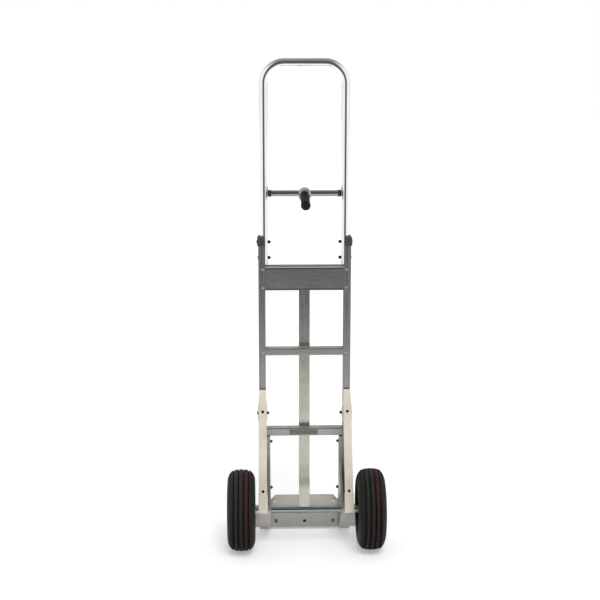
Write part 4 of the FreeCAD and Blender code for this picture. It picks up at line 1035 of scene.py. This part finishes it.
def wire(path: list[Vector], radius: float) -> Shape:
    """A round wire that bends evenly along a path, with closed ends.

    Args:
        path: the points that steer the wire.
        radius: half its thickness.

    Returns:
        The shape.
    """
    curve = bpy.data.curves.new("wire", "CURVE")
    curve.dimensions = "3D"
    curve.bevel_depth = radius
    curve.bevel_resolution = 3
    curve.use_fill_caps = True
    spline = curve.splines.new("NURBS")
    spline.points.add(len(path) - 1)
    for point, place in zip(spline.points, path):
        point.co = (*place, 1.0)
    spline.order_u = 3
    spline.use_endpoint_u = True
    holder = bpy.data.objects.new("wire", curve)
    mesh = bpy.data.meshes.new_from_object(holder)
    shape = bmesh.new()
    shape.from_mesh(mesh)
    bpy.data.objects.remove(holder)
    bpy.data.curves.remove(curve)
    bpy.data.meshes.remove(mesh)
    return shape


# ------------------------------------------------------------------ sub-assemblies
@dataclass
class Frame:
    """Rails, caps, cross members, centre strap, nose plate and blank plate."""

    edge: float = 0.5 * MM
    fine_edge: float = 0.25 * MM
    bar_edge: float = 0.8 * MM
    plate_edge: float = 0.15 * MM
    fine_groove: float = 0.4 * MM
    filled: float = 0.33 * MM
    deep_groove: float = 1.2 * MM
    upward: float = 0.9

    def build(self) -> None:
        """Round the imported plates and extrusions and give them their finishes."""
        for side in ("left", "right"):
            dressed(f"rail_{side}", f"side_rail_{side}", RAIL, self.fine_edge)
            dressed(f"cap_{side}", f"rail_cap_{side}", CAP, self.bar_edge, 3)
        self.panel()
        for name, node in (("upper_bar", "middle_crossbar"), ("lower_bar", "lower_crossbar")):
            shape = softened(node)
            # Up-facing faces of both bars take the lighter copy: painted light on their tops.
            for face in shape.faces:
                face.material_index = int(face.normal.z > self.upward)
            piece(name, shape, BAR, node, (BAR_TOP_LIGHT,))
        # The base crossbar takes the darker copy: painted shade.
        dressed("base_bar", "base_crossbar", BASE_SHADED, self.bar_edge)
        dressed("strap", "center_strap", STRAP, self.edge)
        dressed("nose", "nose_plate", NOSE, self.edge)
        dressed("bare_plate", "blank_plate", BLANK, self.plate_edge)

    def panel(self) -> None:
        """Make the top panel, whose fine grooves are worn almost flush with its face, with painted
        shade on its deep groove and on its top face.
        """
        shape = softened("top_panel")
        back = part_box("top_panel")[0].y
        floors = [vert for vert in shape.verts
                  if abs(vert.co.y - back - self.fine_groove) < self.fine_groove / 8]
        bmesh.ops.translate(shape, verts=floors, vec=Vector((0, -self.filled, 0)))
        for face in shape.faces:
            depth = face.calc_center_median().y - back
            # Up-facing faces take the darker copy: painted shade on the top face.
            if face.normal.z > self.upward:
                face.material_index = 2
            else:
                # Faces inside the deep groove take the darker copy: painted shade.
                face.material_index = int(self.deep_groove / 3 < depth < self.deep_groove * 1.1)
        piece("panel", shape, PANEL, "top_panel", (PANEL_GROOVE_SHADE, PANEL_TOP_SHADE))


@dataclass
class Handle:
    """Loop handle, its crossbar with saddles and ferrules, and the one-hand grip."""

    bend: float = 63.5 * MM
    wall: float = 2.0 * MM
    around: int = 48
    bend_steps: int = 24
    tilt: float = 12.0
    ribs: int = 13
    collar: float = 26.0 * MM
    grip_end: float = 9.0 * MM
    end_lean: float = 0.4
    end_wall: float = 6.0 * MM
    bore_share: float = 0.55
    flange_edge: float = 0.8 * MM
    saddle_edge: float = 0.6 * MM

    def build(self) -> None:
        """Make the handle's pieces."""
        self.loop()
        self.crossbar()
        self.grip()

    def loop(self) -> None:
        """Draw a ring up one leg, round both bends and down the other leg."""
        low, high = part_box("loop_handle")
        radius, middle_y = (high.y - low.y) / 2, (low.y + high.y) / 2
        leg_x, spring = high.x - radius, high.z - radius - self.bend
        shape = bmesh.new()
        start = Matrix.Translation((leg_x, middle_y, low.z))
        bmesh.ops.create_circle(shape, segments=self.around, radius=radius, matrix=start)
        front = list(shape.edges)

        def straight(way: Vector) -> None:
            """Extrude the open ring along a straight run.

            Args:
                way: how far to go, and which way.
            """
            nonlocal front
            made = bmesh.ops.extrude_edge_only(shape, edges=front)["geom"]
            verts = [item for item in made if isinstance(item, bmesh.types.BMVert)]
            front = [item for item in made if isinstance(item, bmesh.types.BMEdge)
                     and all(vert in verts for vert in item.verts)]
            bmesh.ops.translate(shape, verts=verts, vec=way)

        def bent(centre: Vector) -> None:
            """Spin the open ring a quarter turn towards the left.

            Args:
                centre: the middle of the bend.
            """
            nonlocal front
            made = bmesh.ops.spin(shape, geom=front, cent=centre, axis=(0, 1, 0),
                                  angle=-math.pi / 2, steps=self.bend_steps)
            front = [item for item in made["geom_last"] if isinstance(item, bmesh.types.BMEdge)]

        across = 2 * (leg_x - self.bend)
        straight(Vector((0, 0, spring - low.z)))
        bent(Vector((leg_x - self.bend, middle_y, spring)))
        straight(Vector((-across, 0, 0)))
        bent(Vector((self.bend - leg_x, middle_y, spring)))
        straight(Vector((0, 0, low.z - spring)))
        bmesh.ops.recalc_face_normals(shape, faces=shape.faces)
        bmesh.ops.solidify(shape, geom=shape.faces, thickness=self.wall)
        bmesh.ops.recalc_face_normals(shape, faces=shape.faces)
        piece("loop", shape, TUBE, "loop_handle")

    def crossbar(self) -> None:
        """Make the cross tube, the plates that hug the legs and the dark ferrules."""
        dressed("cross_tube", "handle_crossbar", CROSS_TUBE)
        dressed("saddles", "handle_saddles", TUBE, self.saddle_edge)
        dressed("ferrules", "handle_ferrules", FERRULE)

    def grip(self) -> None:
        """Make the stub with its collar, and the ribbed rubber sleeve on it."""
        dressed("stub", "grip_stub", STUB)
        low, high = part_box("handle_crossbar")
        root = (low + high) / 2
        tilt = math.radians(self.tilt)
        axis = Vector((0, -math.cos(tilt), -math.sin(tilt)))
        low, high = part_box("hand_grip")
        radius = (high.x - low.x) / 2
        end = ((root - low).y - radius * math.sin(tilt) * self.end_lean) / math.cos(tilt)
        low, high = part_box("grip_stub")
        inner = (high.x - low.x) / 2 * self.bore_share
        start = self.collar + 0.3 * MM
        points = [(start, inner), (start, radius - self.flange_edge),
                  (start + self.flange_edge, radius), (start + 4 * MM, radius),
                  (start + 5.5 * MM, radius - 2 * MM)]
        pitch = (end - self.grip_end - start - 8 * MM) / self.ribs
        valley, crest = radius - 2.2 * MM, radius - 1.2 * MM
        for number in range(self.ribs):
            place = start + 7 * MM + pitch * number
            points += [(place, valley), (place + pitch * 0.22, crest),
                       (place + pitch * 0.7, crest)]
        points += arc((end - self.grip_end, radius - self.grip_end), self.grip_end, 90, 0, 8)
        bottom = end - self.end_wall
        points += [(end, 0.0), (bottom, 0.0), (bottom, inner)]
        piece("rubber_grip", turned(points, root, axis, 64), GRIP, "hand_grip")


@dataclass
class RunningGear:
    """Wheel brackets, stair runners, wear strips, axle, spacers and washers."""

    cast_edge: float = 0.9 * MM
    runner_edge: float = 0.5 * MM
    wear_edge: float = 0.3 * MM

    def build(self) -> None:
        """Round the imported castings, bars and strips and give them their finishes."""
        for side in ("left", "right"):
            for name, node, finish, edge in (
                ("bracket", "wheel_bracket", CASTING, self.cast_edge),
                ("runner", "stair_runner", RUNNER, self.runner_edge),
                ("strip", "wear_strip", WEAR, self.wear_edge),
                ("block", "wear_block", WEAR, self.wear_edge),
            ):
                dressed(f"{name}_{side}", f"{node}_{side}", finish, edge)
        dressed("axle_rod", "axle", AXLE)
        dressed("spacers", "axle_spacers", ZINC)
        dressed("washers", "axle_washers", ZINC)
        dressed("screws", "strip_screws", DARK_STEEL)


@dataclass
class Tyre:
    """Air-filled tyre: five ribs on a round crown, notched along their edges, and side walls."""

    side: str
    rib_pitch: float = 15.5 * MM
    groove_width: float = 3.4 * MM
    groove_depth: float = 3.4 * MM
    crown_radius: float = 95.0 * MM
    notches: int = 108
    notch_steps: int = 4
    notch_depth: float = 2.0 * MM
    bead_x: float = 24.3 * MM
    bead_radius: float = 50.5 * MM
    rim_edge: float = 59.0 * MM
    wall: float = 7.0 * MM
    squareness: float = 0.6
    widest: float = 0.4
    shoulder: int = 58
    flank_step: int = 8
    flank_end: int = -61
    rings: tuple[int, ...] = (18, -14, -22, -46)
    ring_height: float = 0.5 * MM
    tread_half: float = 29.5 * MM
    tread_rise: float = 30.0 * MM

    @property
    def rib_half(self) -> float:
        """Half the width of a rib."""
        return self.rib_pitch / 2 - self.groove_width / 2

    def crown(self, x: float, outer: float) -> float:
        """The tread's height at a distance from its middle."""
        return outer - x * x / (2 * self.crown_radius)

    def in_turn(self, turn: int, x: float) -> bool:
        """Whether a step round the tyre is notched: a rib's two edges take turns.

        Args:
            turn: the number of the step.
            x: the distance from the tread's middle.

        Returns:
            Whether the edge nearest to x is notched there.
        """
        on_right_edge = x > self.rib_pitch * round(x / self.rib_pitch)
        phase = self.notch_steps // 2 if on_right_edge else 0
        return (turn + phase) % self.notch_steps < self.notch_steps // 2

    def right_half(self, half: float, outer: float) -> tuple[Profile, set[tuple[float, float]]]:
        """The right half of the section, from the middle of the tread round to the bead.

        Args:
            half: half the tyre's width.
            outer: the tyre's outside radius.

        Returns:
            The points, and the rounded places of those that the notches lower.
        """
        points: Profile = []
        notched = set()
        low = self.rim_edge + 2.5 * MM
        middle = low + (outer - low) * self.widest

        def add(x: float, z: float, lowered: bool = True) -> None:
            """Add a point of the tread.

            Args:
                x: its distance from the tread's middle.
                z: its radius.
                lowered: whether the notches lower it.
            """
            points.append((x, z))
            if lowered:
                notched.add((round(x, PLACES), round(z, PLACES)))

        def flank(turn: float) -> tuple[float, float]:
            """A point of the side wall's squared-off oval.

            Args:
                turn: the angle up from the oval's middle.

            Returns:
                The point.
            """
            angle = math.radians(turn)
            reach = outer - middle if turn > 0 else middle - low
            return half * math.cos(angle) ** self.squareness, middle + reach * math.sin(angle)

        def rib(start: float, width: float, shares: tuple[float, ...],
                plain: tuple[float, ...]) -> None:
            """Add a rib's points.

            Args:
                start: where the rib starts.
                width: how wide it is.
                shares: where its points lie, from 0 to 1.
                plain: the shares that the notches leave alone.
            """
            for share in shares:
                x = start + width * share
                add(x, self.crown(x, outer), share not in plain)

        rib(0.0, self.rib_half, (0.0, 0.12, 0.26, 1.0), (0.0, 0.12))
        for number in (0, 1):
            place = self.rib_pitch * (number + 0.5)
            floor = self.crown(place, outer) - self.groove_depth
            points += [(place - self.groove_width * 0.3, floor),
                       (place + self.groove_width * 0.3, floor)]
            start = place + self.groove_width / 2
            if number == 0:
                rib(start, self.rib_half * 2, (0.0, 0.37, 0.44, 0.56, 0.63, 1.0), (0.44, 0.56))
            else:
                rib(start, flank(self.shoulder)[0] - start, (0.0, 0.4, 0.75), ())
        for turn in range(self.shoulder, self.flank_end, -self.flank_step):
            x, z = flank(turn)
            ridge = self.ring_height if turn in self.rings else 0.0
            add(x - self.ring_height + ridge, z, turn >= self.shoulder - 2 * self.flank_step)
        inside = half - self.wall * 2.2
        points += [(self.bead_x + 1.5 * MM, low - 0.6 * MM), (self.bead_x, low - 2 * MM),
                   (self.bead_x, self.bead_radius), (self.bead_x - self.wall, self.bead_radius),
                   (inside, low + 5 * MM), (half - self.wall, middle),
                   (inside, outer - self.wall * 1.6)]
        return points, notched

    def build(self) -> None:
        """Spin the section, lower the notches along each rib's edges and mark the faces."""
        node = f"{self.side}_tyre"
        low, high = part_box(node)
        centre = (low + high) / 2
        outer = (high.z - low.z) / 2
        right, notched = self.right_half((high.x - low.x) / 2, outer)
        section = right + [(-x, radius) for x, radius in reversed(right[1:])]
        steps = self.notches * self.notch_steps
        step_angle = 2 * math.pi / steps
        shape = turned(section, centre, Vector((1, 0, 0)), steps)
        for vert in shape.verts:
            offset = vert.co - centre
            radius = math.hypot(offset.y, offset.z)
            turn = round(math.atan2(offset.z, offset.y) / step_angle)
            if ((round(abs(offset.x), PLACES), round(radius, PLACES)) in notched
                    and self.in_turn(turn, offset.x)):
                vert.co.y -= offset.y / radius * self.notch_depth
                vert.co.z -= offset.z / radius * self.notch_depth
        # Groove and notch faces take the near-black rubber: painted shade.
        for face in shape.faces:
            face.material_index = self.mark(face, centre, outer, step_angle)
        piece(f"{self.side}_tyre_tread", shape, TYRE, node, (RIB_TOP, TYRE_GROOVE_SHADE, RED_RIB))

    def mark(self, face: bmesh.types.BMFace, centre: Vector, outer: float,
             step_angle: float) -> int:
        """Choose a face's finish.

        Args:
            face: a face of the tyre.
            centre: the tyre's middle.
            outer: its outside radius.
            step_angle: the angle of one step round it.

        Returns:
            The material: 0 off the tread, 1 on a rib, 2 in a groove or notch, with painted shade,
                3 on the red rib.
        """
        offset = face.calc_center_median() - centre
        radius = math.hypot(offset.y, offset.z)
        if abs(offset.x) > self.tread_half or radius < self.rim_edge + self.tread_rise:
            return 0
        lowest = min(math.hypot(vert.co.y - centre.y, vert.co.z - centre.z)
                     for vert in face.verts)
        turn = math.floor(math.atan2(offset.z, offset.y) / step_angle)
        off_rib = abs((abs(offset.x) + self.rib_pitch / 2) % self.rib_pitch - self.rib_pitch / 2)
        in_notch = (lowest < self.crown(offset.x, outer) - self.notch_depth * 0.6
                    and self.in_turn(turn, offset.x))
        if off_rib > self.rib_half or in_notch:
            return 2
        return 3 if abs(offset.x - self.rib_pitch) < self.rib_half else 1


@dataclass
class Wheel:
    """One wheel: tyre, pressed rim halves, hub, bearings, rim bolts and valve."""

    side: str
    sheet: float = 2.5 * MM
    disc: float = 40.0 * MM
    drum_drop: float = 8.7 * MM
    bend: float = 6.0 * MM
    curl: float = 3.0 * MM
    lip: float = 1.5 * MM

    def build(self) -> None:
        """Make the wheel's pieces."""
        Tyre(self.side).build()
        for half in ("outer", "inner"):
            self.rim(half)
        for name, node, finish in (("hub_tube", "hub", RIM_PAINT),
                                   ("bearing_pair", "bearings", BEARING),
                                   ("air_tube", "inner_tube", TUBE_RUBBER)):
            dressed(f"{self.side}_{name}", f"{self.side}_{node}", finish)
        Bolts(f"{self.side}_rim_bolts", Axis.X, ZINC, threads=4).build(
            f"{self.side}_wheel_bolts")
        Nuts(f"{self.side}_rim_nuts", Axis.X, ZINC).build(f"{self.side}_wheel_nuts")
        self.valve()

    def rim(self, half: str) -> None:
        """Press the outer or inner half of the rim: a disc, a turned-up drum, a curled edge.

        Args:
            half: outer or inner.
        """
        node = f"{self.side}_rim_{half}_half"
        low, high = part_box(node)
        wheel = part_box(f"{self.side}_tyre")
        wheel_middle = (wheel[0] + wheel[1]) / 2
        outward = 1 if (low.x + high.x) / 2 > wheel_middle.x else -1
        width, edge = high.x - low.x, (high.z - low.z) / 2
        hub = (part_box(f"{self.side}_hub")[1].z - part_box(f"{self.side}_hub")[0].z) / 2
        drum, sheet, bend = edge - self.drum_drop, self.sheet, self.bend
        wall = width - self.curl - sheet
        inside = [(sheet, hub), (sheet, self.disc - bend)]
        inside += arc((sheet + bend, drum - sheet - bend), bend, 180, 90, 6)
        inside += [(wall, drum - sheet)]
        inside += arc((wall, edge - self.curl - sheet), 2.2 * MM, -90, 0, 5)[1:-1]
        inside += [(width - 0.4 * MM, edge - self.curl - 0.6 * MM)]
        inside += arc((width - self.lip, edge - self.lip), self.lip, 0, 180, 8)
        outside = [(width - self.curl, drum + 2 * MM), (width - self.curl - self.lip, drum),
                   (bend * 1.2, drum)]
        outside += arc((bend * 1.2, drum - bend), bend, 90, 150, 4)[1:]
        outside += [(0.0, drum - bend * 1.6), (0.0, hub)]
        foot = Vector((low.x if outward > 0 else high.x, wheel_middle.y, wheel_middle.z))
        shape = turned(inside + outside, foot, Vector((outward, 0, 0)), 96)
        piece(f"{self.side}_rim_{half}", shape, RIM_PAINT, node)

    def valve(self) -> None:
        """Make the valve stem with a knurled cap at its inner end."""
        node = f"{self.side}_valve_stem"
        low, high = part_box(node)
        radius, length = (high.x - low.x) / 2, high.z - low.z
        foot = Vector(((low.x + high.x) / 2, (low.y + high.y) / 2, high.z))
        cap = length * 0.3
        stem, crest, groove = radius * 0.72, radius * 0.85, radius * 0.78
        points = [(0, 0), (0, radius), (length * 0.25, radius), (length * 0.32, stem),
                  (length - cap, stem), (length - cap, crest)]
        for number in range(5):
            place = length - cap + cap * (number + 0.5) / 6
            points += [(place, crest), (place + cap * 0.05, groove)]
        points += [(length - 1 * MM, crest), (length, radius * 0.6), (length, 0)]
        piece(f"{self.side}_valve", turned(points, foot, Vector((0, 0, -1)), 32, closed=False),
              VALVE, node)


@dataclass
class Hardware:
    """Every fixing of the frame."""

    sets: list[Fixings] = field(default_factory=lambda: [
        Bolts("handle_bolts", Axis.X, DARK_STEEL),
        Nuts("handle_nuts", Axis.X, DARK_STEEL),
        Bolts("bracket_bolts", Axis.X, DARKER_ZINC),
        Nuts("bracket_nuts", Axis.X, DARKER_ZINC),
        # Nose bolts turn to the darker zinc below 60 mm.
        Bolts("nose_bolts", Axis.Y, ZINC, (DARKER_ZINC,), 60 * MM, threads=6),
        Nuts("nose_nuts", Axis.Y, ZINC),
    ])

    def build(self) -> None:
        """Make the bolts, nuts, rivets and cotter pins."""
        for fixing in self.sets:
            fixing.build(f"fixings_{fixing.node}")
        Rivets("rail_rivets", Axis.Y, RIVET).build("rivets_rail")
        Rivets("strap_rivets", Axis.Y, RIVET, facing=1.0).build("rivets_strap")
        CotterPins().build()


# ------------------------------------------------------------------ studio
@dataclass
class Studio:
    """Pale floor, white surroundings with a dark doorway behind the camera, and the lamp."""

    floor_radius: float = 12.0
    floor_back: float = -2.0
    floor_colour: Colour = (233, 233, 233)
    lift: float = 0.34
    ambient: float = 0.62
    doorway: float = 0.11
    far_side: float = 0.68
    overhead: float = 0.36
    sun: float = 1.5
    sun_height: float = 52.0
    sun_side: float = 10.0
    sun_softness: float = 24.0

    def build(self) -> None:
        """Make the floor, the world and the lamp."""
        self.floor()
        self.world()
        self.lamp()

    def floor(self) -> None:
        """A large pale disc that keeps the object's shadow and ends behind the operator."""
        shape = bmesh.new()
        middle = Matrix.Translation((0, self.floor_back + self.floor_radius, 0))
        bmesh.ops.create_circle(shape, cap_ends=True, segments=96, radius=self.floor_radius,
                                matrix=middle)
        mesh = bpy.data.meshes.new("floor")
        shape.to_mesh(mesh)
        shape.free()
        material, tree = new_material("floor")
        path = tree.add("LightPath")
        seen = path.outputs["Is Camera Ray"]
        for ray in ("Is Glossy Ray", "Is Transmission Ray"):
            seen = tree.math("MAXIMUM", seen, path.outputs[ray])
        plain = tree.add("BsdfDiffuse", {"Color": linear(self.floor_colour)})
        glow = tree.add("Emission", {"Strength": tree.times(seen, self.lift)})
        both = tree.add("AddShader", {0: plain.outputs[0], 1: glow.outputs[0]})
        tree.add("OutputMaterial", {"Surface": both.outputs[0]})
        mesh.materials.append(material)
        linked("floor", mesh)

    def world(self) -> None:
        """White to the camera; to the rest, pale with a dark doorway on the operator's side."""
        world = bpy.data.worlds.new("studio")
        world.use_nodes = True
        bpy.context.scene.world = world
        tree = Tree(world.node_tree)
        way = tree.add("TexCoord").outputs["Generated"]
        parts = tree.add("SeparateXYZ", {0: way}).outputs
        level = tree.add("CombineXYZ", {"X": parts["X"], "Y": parts["Y"]}).outputs[0]
        heading = tree.add("VectorMath", {0: level}, operation="NORMALIZE").outputs[0]
        behind = tree.times(tree.part(heading, "Y"), -1.0)
        side, top = tree.ranged(behind, 0.86, 0.93), tree.ranged(parts["Z"], 0.93, 0.7)
        kept = tree.ranged(tree.times(side, top), 0.0, 1.0, 1.0, self.doorway)
        ahead = tree.ranged(tree.times(behind, -1.0), 0.35, 0.85, 1.0, self.far_side)
        above = tree.ranged(parts["Z"], 0.55, 0.85, 1.0, self.overhead)
        path = tree.add("LightPath")
        pale = tree.mixed_value(path.outputs["Is Glossy Ray"], self.ambient,
                                tree.times(ahead, above))
        white = (1, 1, 1, 1)
        studio = tree.add("Background", {"Color": white, "Strength": tree.times(pale, kept)})
        shown = tree.add("Background", {"Color": white, "Strength": 1.0})
        both = tree.add("MixShader", {0: path.outputs["Is Camera Ray"], 1: studio.outputs[0],
                                      2: shown.outputs[0]})
        tree.add("OutputWorld", {"Surface": both.outputs[0]})

    def lamp(self) -> None:
        """One broad soft key lamp behind the operator, which polished metal doesn't mirror."""
        lamp = bpy.data.lights.new("key", "SUN")
        lamp.energy = self.sun
        lamp.angle = math.radians(self.sun_softness)
        thing = linked("key", lamp)
        thing.rotation_euler = (math.radians(90 - self.sun_height), 0,
                                math.radians(self.sun_side))
        thing.visible_glossy = False


@dataclass
class Viewpoint:
    """The camera: behind the truck, a little to the left and well above its middle."""

    distance: float = 3.8
    height: float = 1.567
    side: float = -0.13
    pitch: float = 11.42
    yaw: float = 1.67
    lens: float = 76.5
    sensor: float = 36.0

    def build(self) -> None:
        """Make the camera and choose it."""
        low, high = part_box("axle")
        axle_y = (low.y + high.y) / 2
        camera = bpy.data.cameras.new("camera")
        camera.lens = self.lens
        camera.sensor_width = self.sensor
        thing = linked("camera", camera)
        thing.location = (self.side, axle_y - self.distance, self.height)
        thing.rotation_euler = (math.radians(90 - self.pitch), 0, math.radians(-self.yaw))
        bpy.context.scene.camera = thing


def main() -> None:
    """Build the truck, the studio and the camera, and use the Standard view transform."""
    parts: tuple[Callable[[], None], ...] = (
        Frame().build, Handle().build, RunningGear().build, Wheel("left").build,
        Wheel("right").build, Hardware().build, Studio().build, Viewpoint().build,
    )
    for build in parts:
        build()
    bpy.context.scene.view_settings.view_transform = "Standard"


if __name__ == "__main__":
    main()
